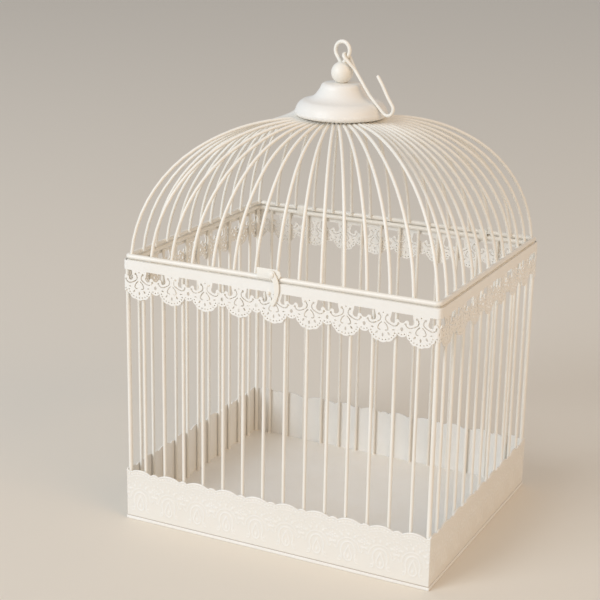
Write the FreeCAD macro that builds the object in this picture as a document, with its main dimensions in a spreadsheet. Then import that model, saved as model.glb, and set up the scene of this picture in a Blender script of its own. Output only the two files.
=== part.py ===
import FreeCAD, Part
import math
import os

import Sketcher

# A rectangular wire birdcage used as a wedding card box, in millimetres.
# The origin is the middle of the underside. +Z is up, the latch faces -Y and the hinge is at +Y.

V = FreeCAD.Vector
Rotation = FreeCAD.Rotation
Placement = FreeCAD.Placement

SIZES = {
    # Sheet-metal base
    "skirt_width": 299.2,
    "skirt_depth": 249.2,
    "sheet": 0.8,
    "lip_height": 3.0,
    "lip_overhang": 0.6,
    "lip_width": 1.6,
    "skirt_top": 50.0,
    "scallop_pitch": 30.0,
    "scallop_span": 22.0,
    "scallop_rise": 3.0,
    "bump_rise": 1.6,
    # Upright wires and the top frame
    "wire_half_x": 146.75,
    "wire_half_y": 121.75,
    "ring_corner": 3.0,
    "bar_radius": 1.5,
    "post_radius": 2.0,
    "ring_radius": 2.25,
    "frame_z": 246.1,
    "bar_pitch_front": 20.1,
    "bar_pitch_side": 20.8,
    "weld": 0.6,
    # Pierced lace band
    "lace_width": 299.6,
    "lace_depth": 249.6,
    "lace_top": 248.3,
    "lace_strip": 8.5,
    # Dome lid
    "lid_z": 251.2,
    "dome_radius": 1.5,
    "crown_z": 369.0,
    "gather_radius": 30.0,
    "foot_inset": 2.5,
    "foot_drop": 0.3,
    "foot_lean": 5.7,
    "tip_slope_short": 5.7,
    "tip_slope_long": -5.7,
    "run_short": 91.0,
    "run_long": 159.0,
    "arc_balance": 1.1,
    # Crown and finial
    "disc_radius": 33.5,
    "disc_thick": 1.2,
    "cap_wall": 0.8,
    "cap_foot_radius": 37.0,
    "cap_foot_z": 371.5,
    "cap_brim_radius": 40.5,
    "cap_brim_z": 376.6,
    "cap_shoulder_radius": 26.7,
    "cap_shoulder_z": 386.0,
    "cap_neck_radius": 18.6,
    "cap_neck_z": 396.6,
    "cap_top_radius": 14.9,
    "cap_top_z": 400.3,
    "ball_radius": 9.65,
    "ball_seat": 9.0,
    "eye_radius": 7.5,
    "eye_wire": 1.75,
    "eye_drop": 13.0,
    "eye_rod": 1.9,
    "eye_z": 428.75,
    "eye_turn": -10.0,
    "nut_flats": 7.0,
    "nut_thick": 3.2,
    "washer_radius": 6.0,
    "washer_thick": 1.0,
    # Hinge straps
    "strap_width": 8.0,
    "strap_clearance": 0.05,
    "strap_offset": 96.75,
    "strap_lift": 0.1,
    # Latch
    "plate_left": -16.6,
    "plate_right": 6.0,
    "plate_rise": 8.8,
    "plate_thick": 1.0,
    "pivot_x": -1.9,
    "pivot_z": 255.4,
    "pivot_radius": 1.5,
    "pivot_clearance": 0.05,
    "rivet_head": 2.5,
    "rivet_shoulder": 2.4,
    "hook_thick": 1.0,
    "hook_eye": 3.8,
    "hook_gap": 0.7,
    "latch_rest": 4.5,
    "stud_radius": 1.3,
    "stud_drop": 16.4,
    "stud_left": 3.0,
    # Hanging hook
    "hanger_rod": 1.5,
    "hanger_loop": 3.7,
    "hanger_loop_rod": 1.6,
    "hanger_drop": 13.5,
    "hanger_tilt": 49.0,
    "hanger_reach": 67.5,
    "hanger_bend": 5.8,
    "hanger_arm": 28.0,
    "hanger_flare": 5.0,
}

FRONT_BARS = 14
SIDE_BARS = 11
DOME_HALF_FRONT = 7
DOME_HALF_SIDE = 6
LACE_FRONT_UNITS = 9
STUD_PAD_RADIUS = 2.2
STUD_PAD_THICK = 0.3

doc = FreeCAD.newDocument("card_box_birdcage")


def make_sheet():
    """Put every driving dimension in one spreadsheet, each with its own alias."""
    sheet = doc.addObject("Spreadsheet::Sheet", "Dims")
    for row, (alias, value) in enumerate(SIZES.items(), start=1):
        sheet.set(f"A{row}", alias)
        sheet.set(f"B{row}", str(value))
        sheet.setAlias(f"B{row}", alias)
    doc.recompute()
    return sheet


sheet = make_sheet()


def size(alias):
    """The value of one dimension, read back from the spreadsheet."""
    return float(sheet.get(alias))


def bind(obj, **expressions):
    """Tie properties to the spreadsheet; x, y and z stand for the parts of the placement."""
    for name, expression in expressions.items():
        path = f"Placement.Base.{name}" if name in ("x", "y", "z") else name
        obj.setExpression(path, expression)
    return obj


def box(name, length, width, height, x, y, z):
    """A block with one corner at x, y, z."""
    block = doc.addObject("Part::Box", name)
    return bind(block, Length=length, Width=width, Height=height, x=x, y=y, z=z)


def cylinder(name, radius, height, x="0", y="0", z="0", along="Z"):
    """A round bar from x, y, z, running along +X, -Y or +Z."""
    turns = {"X": Rotation(V(0, 1, 0), 90), "-Y": Rotation(V(1, 0, 0), 90), "Z": Rotation()}
    bar = doc.addObject("Part::Cylinder", name)
    bar.Placement = Placement(V(0, 0, 0), turns[along])
    return bind(bar, Radius=radius, Height=height, x=x, y=y, z=z)


def cut(name, base, tool):
    """One solid less another."""
    result = doc.addObject("Part::Cut", name)
    result.Base = base
    result.Tool = tool
    return result


def fuse(name, *shapes):
    """Several solids joined into one piece."""
    result = doc.addObject("Part::MultiFuse", name)
    result.Shapes = list(shapes)
    result.Refine = False
    return result


def group(name, shapes):
    """Several separate solids kept together as one node."""
    result = doc.addObject("Part::Compound", name)
    result.Links = list(shapes)
    return result


def solid_feature(name, shape):
    """A piece whose outline is worked out in code from the spreadsheet."""
    feature = doc.addObject("Part::Feature", name)
    feature.Shape = shape
    return feature


def origin_plane(body, role):
    """One of a body's own origin planes."""
    return next(plane for plane in body.Origin.OriginFeatures if plane.Role == role)


def body_sketch(body, name, role, offset=0.0):
    """A sketch on one of its body's origin planes, moved along the plane's normal."""
    sketch = body.newObject("Sketcher::SketchObject", name)
    sketch.AttachmentSupport = [(origin_plane(body, role), "")]
    sketch.MapMode = "FlatFace"
    sketch.AttachmentOffset = Placement(V(0, 0, offset), Rotation())
    return sketch


def constrain(sketch, name, expression, *arguments):
    """A driving constraint that takes its value from the spreadsheet."""
    index = sketch.addConstraint(Sketcher.Constraint(*arguments))
    sketch.renameConstraint(index, name)
    sketch.setExpression(f"Constraints.{name}", expression)


def pin_point(sketch, name, curve, end, x, y, here):
    """Fix one end of a curve at x, y, measured from the sketch's origin."""
    constrain(sketch, f"{name}_x", x, "DistanceX", -1, 1, curve, end, here.x)
    constrain(sketch, f"{name}_y", y, "DistanceY", -1, 1, curve, end, here.y)


# Wire rings: the top frame and the lid rim


def rounded_rectangle(sketch):
    """A rounded rectangle on the wires' centre line, tied to its half sizes and corner radius."""
    hx, hy, r = size("wire_half_x"), size("wire_half_y"), size("ring_corner")
    quarter = math.pi / 2

    def line(x0, y0, x1, y1):
        return Part.LineSegment(V(x0, y0, 0), V(x1, y1, 0))

    def corner(x, y, turn):
        circle = Part.Circle(V(x, y, 0), V(0, 0, 1), r)
        return Part.ArcOfCircle(circle, turn * quarter, (turn + 1) * quarter)

    sketch.addGeometry([
        line(r - hx, -hy, hx - r, -hy), corner(hx - r, r - hy, 3),
        line(hx, r - hy, hx, hy - r), corner(hx - r, hy - r, 0),
        line(hx - r, hy, r - hx, hy), corner(r - hx, hy - r, 1),
        line(-hx, hy - r, -hx, r - hy), corner(r - hx, r - hy, 2),
    ], False)
    count = 8
    for index in range(count):
        sketch.addConstraint(Sketcher.Constraint("Tangent", index, 2, (index + 1) % count, 1))
    for level in (0, 4):
        sketch.addConstraint(Sketcher.Constraint("Horizontal", level))
    for upright in (2, 6):
        sketch.addConstraint(Sketcher.Constraint("Vertical", upright))
    for arc in (1, 3, 5):
        sketch.addConstraint(Sketcher.Constraint("Equal", arc, arc + 2))
    constrain(sketch, "corner", "Dims.ring_corner", "Radius", 1, r)
    constrain(sketch, "right", "Dims.wire_half_x", "DistanceX", -1, 1, 2, 1, hx)
    constrain(sketch, "left", "Dims.wire_half_x", "DistanceX", 6, 1, -1, 1, hx)
    constrain(sketch, "back", "Dims.wire_half_y", "DistanceY", -1, 1, 4, 1, hy)
    constrain(sketch, "front", "Dims.wire_half_y", "DistanceY", 0, 1, -1, 1, hy)
    return count


def wire_ring(name, height):
    """A round wire bent into a rounded rectangle, with its centre line at the given height."""
    body = doc.addObject("PartDesign::Body", name)
    path = body_sketch(body, f"{name}_path", "XY_Plane")
    edges = rounded_rectangle(path)
    section = body_sketch(body, f"{name}_section", "YZ_Plane")
    centre = V(-size("wire_half_y"), 0, 0)
    section.addGeometry(Part.Circle(centre, V(0, 0, 1), size("ring_radius")), False)
    constrain(section, "wire", "Dims.ring_radius", "Radius", 0, size("ring_radius"))
    constrain(section, "reach", "Dims.wire_half_y", "DistanceX", 0, 3, -1, 1, -centre.x)
    section.addConstraint(Sketcher.Constraint("PointOnObject", 0, 3, -1))
    doc.recompute()
    pipe = body.newObject("PartDesign::AdditivePipe", f"{name}_pipe")
    pipe.Profile = section
    pipe.Spine = (path, [f"Edge{number + 1}" for number in range(edges)])
    return bind(body, z=height)


# Base: floor pan and scalloped skirt


def make_floor_pan():
    """A shallow pan whose folded lip shows as the bead under the skirt."""
    outer_x = "(Dims.skirt_width + 2 * Dims.lip_overhang)"
    outer_y = "(Dims.skirt_depth + 2 * Dims.lip_overhang)"
    inner_x = f"({outer_x} - 2 * Dims.lip_width)"
    inner_y = f"({outer_y} - 2 * Dims.lip_width)"
    blank = box("pan_blank", outer_x, outer_y, "Dims.lip_height", f"-{outer_x} / 2", f"-{outer_y} / 2", "0")
    hollow = box("pan_hollow", inner_x, inner_y, "Dims.lip_height", f"-{inner_x} / 2", f"-{inner_y} / 2",
                 "Dims.sheet")
    return cut("floor_pan", blank, hollow)


def arc_edge(start, middle, end):
    """An arc through three points of a flat outline."""
    return Part.Arc(V(*start, 0), V(*middle, 0), V(*end, 0)).toShape()


def line_edge(start, end):
    """A straight edge of a flat outline."""
    return Part.makeLine(V(*start, 0), V(*end, 0))


def skirt_sheet(length, first_scallop, scallops):
    """A flat panel, u along it and v up, with wide scallops and small bumps along its top edge."""
    pitch, span = size("scallop_pitch"), size("scallop_span")
    foot = size("lip_height")
    valley = size("skirt_top") - size("scallop_rise")
    edges = []
    for index in range(scallops):
        middle = first_scallop + index * pitch
        left, right, after = middle - span / 2, middle + span / 2, middle + pitch - span / 2
        edges.append(arc_edge((left, valley), (middle, size("skirt_top")), (right, valley)))
        crest = ((right + after) / 2, valley + size("bump_rise"))
        edges.append(arc_edge((right, valley), crest, (after, valley)))
    start = (first_scallop - span / 2, valley)
    end = (first_scallop + scallops * pitch - span / 2, valley)
    edges.append(line_edge(end, (end[0], foot)))
    edges.append(line_edge((end[0], foot), (start[0], foot)))
    edges.append(line_edge((start[0], foot), start))
    blank = Part.Face(Part.Wire(edges)).extrude(V(0, 0, size("sheet")))
    return blank.common(Part.makeBox(length, size("skirt_top"), size("sheet"), V(-length / 2, 0, 0)))


def stand_panel(turn, reach):
    """Stand a flat panel on edge: its face looks outwards, reach from the axis, turned about Z."""
    upright = Placement(V(0, -reach, 0), Rotation(V(1, 0, 0), 90))
    return Placement(V(0, 0, 0), Rotation(V(0, 0, 1), turn)).multiply(upright)


SIDES = {"front": 0, "right": 90, "back": 180, "left": 270}


def make_skirts():
    """Four skirt panels: front and back cover the ends of the side panels."""
    pitch, wide = size("scallop_pitch"), size("skirt_width")
    side_length = size("skirt_depth") - 2 * size("sheet")
    sheets = {
        True: skirt_sheet(wide, -5.5 * pitch, 12),
        False: skirt_sheet(side_length, -5 * pitch, 11),
    }
    panels = []
    for side, turn in SIDES.items():
        long_side = side in ("front", "back")
        reach = size("skirt_depth") / 2 if long_side else wide / 2
        panel = solid_feature(f"skirt_{side}", sheets[long_side])
        panel.Placement = stand_panel(turn, reach - size("sheet"))
        panels.append(panel)
    return panels


# Upright wires


def make_posts():
    """Four thicker posts in the corners, welded to the pan and the top frame."""
    height = "Dims.frame_z - Dims.post_radius / 2 - Dims.sheet + Dims.weld / 2"
    posts = []
    for depth, y in (("front", "-Dims.wire_half_y"), ("back", "Dims.wire_half_y")):
        for side, x in (("left", "-Dims.wire_half_x"), ("right", "Dims.wire_half_x")):
            posts.append(cylinder(f"post_{depth}_{side}", "Dims.post_radius", height, x, y,
                                  "Dims.sheet - Dims.weld / 2"))
    return posts


def make_bars():
    """A row of upright bars on each side, from the pan to the underside of the top frame."""
    foot = "Dims.sheet - Dims.weld / 2"
    height = f"Dims.frame_z - Dims.ring_radius + Dims.weld - ({foot})"
    rows = []
    for side, sign in (("front", "-"), ("back", "")):
        bars = []
        for index in range(FRONT_BARS):
            x = f"{index - (FRONT_BARS - 1) / 2} * Dims.bar_pitch_front"
            bars.append(cylinder(f"bar_{side}_{index}", "Dims.bar_radius", height, x,
                                 f"{sign}Dims.wire_half_y", foot))
        rows.append(group(f"bars_{side}", bars))
    for side, sign in (("left", "-"), ("right", "")):
        bars = []
        for index in range(SIDE_BARS):
            y = f"{index - (SIDE_BARS - 1) / 2} * Dims.bar_pitch_side"
            bars.append(cylinder(f"bar_{side}_{index}", "Dims.bar_radius", height,
                                 f"{sign}Dims.wire_half_x", y, foot))
        rows.append(group(f"bars_{side}", bars))
    return rows


# Pierced lace band. In one motif u runs along the band from the motif's middle and v is down from its top


def unit_lower_edge(pitch):
    """The lower edge of one motif: a large scallop of five lobes, then a small plain scallop."""
    half, shoulder, depth, lobes = 12.2, -24.8, 10.2, 5
    valley, crest = 0.96, 1.04

    def on_scallop(step, swell):
        angle = math.pi * (1 + step / lobes)
        return (half * swell * math.cos(angle), shoulder + depth * swell * math.sin(angle))

    edges = []
    for lobe in range(lobes):
        edges.append((on_scallop(lobe, valley), on_scallop(lobe + 0.5, crest), on_scallop(lobe + 1, valley)))
    start = on_scallop(lobes, valley)
    small_drop = 3.6
    edges.append((start, (pitch / 2, shoulder - small_drop), (pitch - start[0], shoulder)))
    return edges


def round_hole(u, v, radius):
    """A round hole."""
    return Part.Wire(Part.makeCircle(radius, V(u, v, 0)))


def arc_middle(start, tangent, end):
    """The middle of the arc that leaves start along a tangent and ends at end."""
    chord = end - start
    turn = math.acos(max(-1.0, min(1.0, chord.dot(tangent) / chord.Length)))
    outward = chord.cross(tangent.cross(chord)).normalize()
    return start + chord / 2 + outward * (chord.Length / 2 * math.tan(turn / 2))


def heading(circle, point, away_from):
    """The direction of a circle at a point, pointing away from another point of it."""
    along = V(0, 0, 1).cross(point - circle.Center).normalize()
    return along if along.dot(point - away_from) > 0 else -along


def curved_slot(width, tip, start, middle, end, *further):
    """A slot of even width along smooth arcs that all turn the same way; its round ends reach tip on."""
    arcs = [[V(*point, 0) for point in (start, middle, end)]]
    for point in further:
        _, last_middle, last_end = arcs[-1]
        tangent = heading(Part.Circle(*arcs[-1]), last_end, last_middle)
        goal = V(*point, 0)
        arcs.append([last_end, arc_middle(last_end, tangent, goal), goal])
    circles = [Part.Circle(*arc) for arc in arcs]

    def rail(side):
        rails = []
        for arc, circle in zip(arcs, circles):
            scale = 1 + side * width / 2 / circle.Radius
            rails.append([circle.Center + (point - circle.Center) * scale for point in arc])
        return rails

    outer, inner = rail(1), rail(-1)
    first_tip = arcs[0][0] + heading(circles[0], arcs[0][0], arcs[0][1]) * tip
    last_tip = arcs[-1][2] + heading(circles[-1], arcs[-1][2], arcs[-1][1]) * tip
    edges = [Part.Arc(*points) for points in outer]
    edges.append(Part.Arc(outer[-1][2], last_tip, inner[-1][2]))
    edges += [Part.Arc(*reversed(points)) for points in reversed(inner)]
    edges.append(Part.Arc(inner[0][0], first_tip, outer[0][0]))
    return Part.Wire([edge.toShape() for edge in edges])


def leaf_hole(middle, length, width, degrees):
    """A leaf-shaped hole between two arcs; degrees is the direction of its tips."""
    along = V(math.cos(math.radians(degrees)), math.sin(math.radians(degrees)), 0)
    across = V(-along.y, along.x, 0) * (width / 2)
    centre = V(*middle, 0)
    first, last = centre - along * (length / 2), centre + along * (length / 2)
    arcs = [Part.Arc(first, centre + across, last), Part.Arc(last, centre - across, first)]
    return Part.Wire([arc.toShape() for arc in arcs])


def window_hole(middle, strip):
    """The open window between two motifs: its sides run into scrolls, and two curls rise from its sill."""
    side = [
        [(9.2, -strip), (9.6, -11.4), (10.4, -13.8)],
        [(10.4, -13.8), (9.8, -16.5), (7.8, -17.6)],
        [(7.8, -17.6), (6.4, -17.2), (6.0, -15.9)],
        [(6.0, -15.9), (4.3, -13.8), (2.3, -15.4)],
    ]

    def placed(points, mirror):
        return [(middle + mirror * u, v) for u, v in points]

    edges = [line_edge((middle - side[0][0][0], -strip), (middle + side[0][0][0], -strip))]
    edges += [arc_edge(*placed(points, 1)) for points in side]
    sill_end = side[-1][-1]
    edges.append(arc_edge(*placed([sill_end, (0.0, -16.4), (-sill_end[0], sill_end[1])], 1)))
    edges += [arc_edge(*reversed(placed(points, -1))) for points in reversed(side)]
    return Part.Wire(edges)


def unit_holes(middle, pitch, strip):
    """Everything that is pierced in one motif and in the small scallop after it."""
    slit, plain_tip, round_tip = 1.0, 0.5, 1.9
    dot = 0.65
    holes = [window_hole(middle + pitch / 2, strip), round_hole(middle, -10.0, dot)]
    for mirror in (-1, 1):
        def at(u, v):
            return (middle + mirror * u, v)
        scroll = [at(3.1, -12.2), at(2.1, -14.4), at(3.3, -17.2), at(9.0, -20.0), at(13.1, -18.0)]
        holes.append(curved_slot(slit, round_tip, *scroll))
        heart = [at(1.3, -18.2), at(3.3, -20.3), at(4.4, -22.6), at(2.3, -24.7)]
        holes.append(curved_slot(slit, plain_tip, *heart))
        holes.append(leaf_hole(at(9.3, -23.4), 2.8, 1.2, mirror * 10))
        holes.append(leaf_hole(at(5.3, -27.3), 3.2, 1.6, -90 + mirror * 35))
    holes.append(leaf_hole((middle, -29.0), 3.4, 1.7, -90))
    border_dots = 11
    for index in range(border_dots):
        angle = math.pi * (1 + (index + 0.5) / border_dots)
        holes.append(round_hole(middle + 10.6 * math.cos(angle), -25.0 + 8.0 * math.sin(angle), dot))
    between = middle + pitch / 2
    holes.append(leaf_hole((between, -21.8), 3.6, 2.6, -90))
    for step in (-1, 0, 1):
        holes.append(round_hole(between + 2.6 * step, -25.6 - 0.7 * (1 - abs(step)), dot))
    return holes


def lace_sheet(length, first_motif, motifs, notches=()):
    """A flat pierced strip, cut to length; notches are the places left out for the hinge straps."""
    pitch = size("lace_width") / LACE_FRONT_UNITS
    strip = size("lace_strip")
    edges = []
    for index in range(motifs):
        middle = first_motif + index * pitch
        for points in unit_lower_edge(pitch):
            edges.append(arc_edge(*[(middle + u, v) for u, v in points]))
    start = edges[0].Vertexes[0].Point
    end = (start.x + motifs * pitch, start.y)
    edges[-1] = arc_edge(edges[-1].Vertexes[0].Point[:2], edges[-1].valueAt(
        (edges[-1].FirstParameter + edges[-1].LastParameter) / 2)[:2], end)
    edges.append(line_edge(end, (end[0], 0)))
    edges.append(line_edge((end[0], 0), (start.x, 0)))
    edges.append(line_edge((start.x, 0), (start.x, start.y)))
    outline = Part.Wire(edges)
    holes = []
    for index in range(motifs):
        for hole in unit_holes(first_motif + index * pitch, pitch, strip):
            if hole.BoundBox.XMin > start.x + 0.3 and hole.BoundBox.XMax < end[0] - 0.3:
                holes.append(hole)
    face = Part.Face([outline] + holes)
    face.validate()
    sheet_solid = face.extrude(V(0, 0, size("sheet")))
    deepest = 40.0
    trimmed = sheet_solid.common(Part.makeBox(length, deepest, size("sheet"), V(-length / 2, -deepest, 0)))
    for left, right, drop in notches:
        trimmed = trimmed.cut(Part.makeBox(right - left, drop, size("sheet"), V(left, -drop, 0)))
    return trimmed


def make_lace():
    """Four lace panels; the motifs run on round the corners at one pitch."""
    wide = size("lace_width")
    pitch = wide / LACE_FRONT_UNITS
    side_length = size("lace_depth") - 2 * size("sheet")
    slack = 0.3
    half_strap = size("strap_width") / 2 + slack
    strap_bottom = size("frame_z") - size("ring_radius") - size("sheet") - slack
    drop = size("lace_top") - strap_bottom
    notches = [(sign * size("strap_offset") - half_strap, sign * size("strap_offset") + half_strap, drop)
               for sign in (-1, 1)]
    side_first = -size("lace_depth") / 2 + pitch / 2
    panels = []
    for side, turn in SIDES.items():
        if side == "front":
            solid = lace_sheet(wide, -5 * pitch, 11)
        elif side == "back":
            solid = lace_sheet(wide, -4.5 * pitch, 10, notches)
        elif side == "right":
            solid = lace_sheet(side_length, side_first - pitch, 10)
        else:
            solid = lace_sheet(side_length, -side_first - 8 * pitch, 10)
        reach = (size("lace_depth") if side in ("front", "back") else wide) / 2 - size("sheet")
        panel = solid_feature(f"lace_{side}", solid)
        panel.Placement = Placement(V(0, 0, size("lace_top")), Rotation()).multiply(stand_panel(turn, reach))
        panels.append(panel)
    return panels


# Hinge straps and keeper stud


def strap_block(name, radius, width, x):
    """A block with round ends that encloses both back wires at the given radius."""
    lower = "(Dims.frame_z + Dims.strap_lift)"
    top = cylinder(f"{name}_top", radius, width, x, "Dims.wire_half_y", "Dims.lid_z", "X")
    bottom = cylinder(f"{name}_bottom", radius, width, x, "Dims.wire_half_y", lower, "X")
    web = box(f"{name}_web", width, f"2 * ({radius})", f"Dims.lid_z - {lower}", x,
              f"Dims.wire_half_y - ({radius})", lower)
    return fuse(f"{name}_block", top, bottom, web)


def make_strap(side, sign):
    """A closed sheet strap: crimped on the frame wire, and a running fit on the lid rim."""
    inner = "(Dims.ring_radius + Dims.strap_clearance)"
    left = f"{sign}Dims.strap_offset - Dims.strap_width / 2"
    solid = strap_block(f"strap_{side}_outer", f"{inner} + Dims.sheet", "Dims.strap_width", left)
    hollow = strap_block(f"strap_{side}_inner", inner, "3 * Dims.strap_width", f"{left} - Dims.strap_width")
    return cut(f"hinge_strap_{side}", solid, hollow)


def make_keeper_stud():
    """A short round stud on a thin pad, welded on the face of the lace, left of the latch hook."""
    face = "-Dims.lace_depth / 2"
    z = "Dims.pivot_z - Dims.stud_drop"
    x = "Dims.pivot_x - Dims.stud_left"
    pad = cylinder("stud_pad", str(STUD_PAD_RADIUS), str(STUD_PAD_THICK), x, face, z, "-Y")
    pin = cylinder("stud_pin", "Dims.stud_radius", "Dims.hook_gap + Dims.hook_thick + 0.5", x, face, z, "-Y")
    return fuse("keeper_stud", pad, pin)


# Dome lid


def dome_feet():
    """Each dome wire's side, number round the crown and foot on the rim, starting at the front middle."""
    hx, hy = size("wire_half_x") - size("foot_inset"), size("wire_half_y") - size("foot_inset")
    front, side = DOME_HALF_FRONT, DOME_HALF_SIDE
    quarter = front + side
    feet = []
    for k in range(1 - front, front):
        x = k * hx / front
        feet.append(("front", k, x, -hy))
        feet.append(("back", 2 * quarter - k, x, hy))
    for k in range(1 - side, side):
        y = k * hy / side
        feet.append(("right", quarter + k, hx, y))
        feet.append(("left", 3 * quarter - k, -hx, y))
    for number, sx, sy in ((front, 1, -1), (front + 2 * side, 1, 1),
                           (3 * front + 2 * side, -1, 1), (3 * front + 4 * side, -1, -1)):
        feet.append(("corner", number, sx * hx, sy * hy))
    return feet


def arc_from_tangent(start, tangent, end):
    """The arc that leaves start along a tangent and ends at end."""
    return Part.Arc(start, arc_middle(start, tangent, end), end).toShape()


def two_arcs(start, start_tangent, end, end_tangent, balance):
    """Two arcs that join smoothly, with given directions at both ends."""
    span = end - start
    dot = start_tangent.dot(end_tangent)
    a = balance ** 2 + 1 + 2 * balance * dot - (1 + balance) ** 2
    b = -2 * (balance * span.dot(start_tangent) + span.dot(end_tangent))
    reach = (-b - math.sqrt(b * b - 4 * a * span.dot(span))) / (2 * a)
    first = start + start_tangent * (balance * reach)
    second = end - end_tangent * reach
    joint = (first + second * balance) * (1 / (1 + balance))
    along = (second - first).normalize()
    return [arc_from_tangent(start, start_tangent, joint), arc_from_tangent(joint, along, end)]


def dome_wire(number, x, y):
    """One round wire in an upright plane: steep at the rim, level where the crown gathers it."""
    total = 4 * (DOME_HALF_FRONT + DOME_HALF_SIDE)
    angle = 2 * math.pi * number / total - math.pi / 2
    foot = V(x, y, size("lid_z") - size("foot_drop"))
    tip = V(size("gather_radius") * math.cos(angle), size("gather_radius") * math.sin(angle), size("crown_z"))
    inward = V(tip.x - x, tip.y - y, 0)
    run = inward.Length
    inward.normalize()
    share = (run - size("run_short")) / (size("run_long") - size("run_short"))
    slope = math.radians(size("tip_slope_short") + share * (size("tip_slope_long") - size("tip_slope_short")))
    lean = math.radians(size("foot_lean"))
    rise = V(0, 0, 1)
    up = inward * math.sin(lean) + rise * math.cos(lean)
    level = inward * math.cos(slope) + rise * math.sin(slope)
    path = Part.Wire(two_arcs(foot, up, tip, level, size("arc_balance")))
    section = Part.Wire(Part.makeCircle(size("dome_radius"), foot, up))
    return path.makePipeShell([section], True, False)


def make_dome():
    """Five groups of dome wires: one for each side, and the four corner wires."""
    wires = {}
    for side, number, x, y in dome_feet():
        wires.setdefault(side, []).append(dome_wire(number, x, y))
    return [solid_feature(f"dome_wires_{side}", Part.makeCompound(solids)) for side, solids in wires.items()]


# Crown and finial


def make_crown():
    """The disc over the dome wires' tips, with the washer and nut that clamp the eye bolt under it."""
    underside = "(Dims.crown_z + Dims.dome_radius - Dims.weld / 4)"
    disc = cut("crown_disc",
               cylinder("disc_blank", "Dims.disc_radius", "Dims.disc_thick", z=underside),
               cylinder("disc_bore", "Dims.eye_rod", "Dims.disc_thick", z=underside))
    washer_foot = f"({underside} - Dims.washer_thick)"
    washer = cut("crown_washer",
                 cylinder("washer_blank", "Dims.washer_radius", "Dims.washer_thick", z=washer_foot),
                 cylinder("washer_bore", "Dims.eye_rod", "Dims.washer_thick", z=washer_foot))
    nut_foot = f"({washer_foot} - Dims.nut_thick)"
    blank = doc.addObject("Part::Prism", "nut_blank")
    blank.Polygon = 6
    bind(blank, Circumradius="Dims.nut_flats / 2 / cos(30)", Height="Dims.nut_thick", z=nut_foot)
    nut = cut("crown_nut", blank, cylinder("nut_bore", "Dims.eye_rod", "Dims.nut_thick", z=nut_foot))
    return [disc, washer, nut]


CAP_POINTS = ("foot", "brim", "shoulder", "neck", "top")
CAP_BULGES = (3.2, 11.9, -40.0, 4.3)


def cap_sketch(body, name, wall):
    """Half the cap's section: arcs from foot to top, closed on the axis, drawn in by the wall."""
    sketch = body_sketch(body, name, "XZ_Plane")
    drops = (0.0, 0.0, wall, wall, wall)
    points = []
    for point, drop in zip(CAP_POINTS, drops):
        points.append(V(size(f"cap_{point}_radius") - wall, size(f"cap_{point}_z") - drop, 0))
    curves = []
    for start, end, bulge in zip(points, points[1:], CAP_BULGES):
        chord = end - start
        outward = V(chord.y, -chord.x, 0).normalize() * math.copysign(1, bulge)
        radius = abs(bulge)
        sagitta = radius - math.sqrt(max(radius ** 2 - (chord.Length / 2) ** 2, 0))
        curves.append(Part.Arc(start, start + chord / 2 + outward * sagitta, end))
    top, foot = points[-1], points[0]
    axis_top, axis_foot = V(0, top.y, 0), V(0, foot.y, 0)
    curves += [Part.LineSegment(top, axis_top), Part.LineSegment(axis_top, axis_foot),
               Part.LineSegment(axis_foot, foot)]
    sketch.addGeometry(curves, False)
    return sketch, points


def make_cap():
    """A spun sheet cap: a solid turned from its outer section, hollowed by its inner one, and drilled."""
    body = doc.addObject("PartDesign::Body", "finial_cap")
    outer, _ = cap_sketch(body, "cap_outer", 0.0)
    doc.recompute()
    turned = body.newObject("PartDesign::Revolution", "cap_turned")
    turned.Profile = outer
    turned.ReferenceAxis = (outer, ["V_Axis"])
    doc.recompute()
    inner, _ = cap_sketch(body, "cap_inner", size("cap_wall"))
    doc.recompute()
    hollow = body.newObject("PartDesign::Groove", "cap_hollow")
    hollow.Profile = inner
    hollow.ReferenceAxis = (inner, ["V_Axis"])
    doc.recompute()
    bore = body_sketch(body, "cap_bore", "XY_Plane", size("cap_top_z"))
    bore.addGeometry(Part.Circle(V(0, 0, 0), V(0, 0, 1), size("eye_rod")), False)
    constrain(bore, "rod", "Dims.eye_rod", "Radius", 0, size("eye_rod"))
    bore.addConstraint(Sketcher.Constraint("Coincident", 0, 3, -1, 1))
    doc.recompute()
    drilled = body.newObject("PartDesign::Pocket", "cap_drilled")
    drilled.Profile = bore
    bind(drilled, Length="2 * Dims.cap_wall")
    return body


def make_ball():
    """A ball with a flat seat on the cap and a bore for the eye bolt."""
    ball = doc.addObject("Part::Sphere", "ball_blank")
    bind(ball, Radius="Dims.ball_radius", Angle1="-asin(Dims.ball_seat / Dims.ball_radius)",
         z="Dims.cap_top_z + Dims.ball_seat")
    return cut("finial_ball", ball, cylinder("ball_bore", "Dims.eye_rod", "3 * Dims.ball_radius",
                                             z="Dims.cap_top_z - Dims.ball_radius / 2"))


def drop_loop(name, radius, wire, drop, middle="0"):
    """A drop-shaped wire loop in the XY plane: a round end at the middle, two limbs that meet along +X."""
    spread = math.degrees(math.acos(size(radius) / size(drop)))
    ring = doc.addObject("Part::Torus", f"{name}_ring")
    ring.Placement = Placement(V(0, 0, 0), Rotation(V(0, 0, 1), spread))
    bind(ring, Radius1=f"Dims.{radius}", Radius2=f"Dims.{wire}", x=middle,
         Angle3=f"360 deg - 2 * acos(Dims.{radius} / Dims.{drop})")
    pieces = [ring]
    for side, sign in (("left", 1), ("right", -1)):
        limb = doc.addObject("Part::Cylinder", f"{name}_limb_{side}")
        back = V(-math.sin(math.radians(spread)), sign * math.cos(math.radians(spread)), 0)
        limb.Placement = Placement(V(0, 0, 0), Rotation(V(0, 0, 1), back))
        bind(limb, Radius=f"Dims.{wire}", Height=f"sqrt(Dims.{drop} ^ 2 - Dims.{radius} ^ 2)",
             x=f"{middle} + Dims.{drop}")
        pieces.append(limb)
    return pieces


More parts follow.
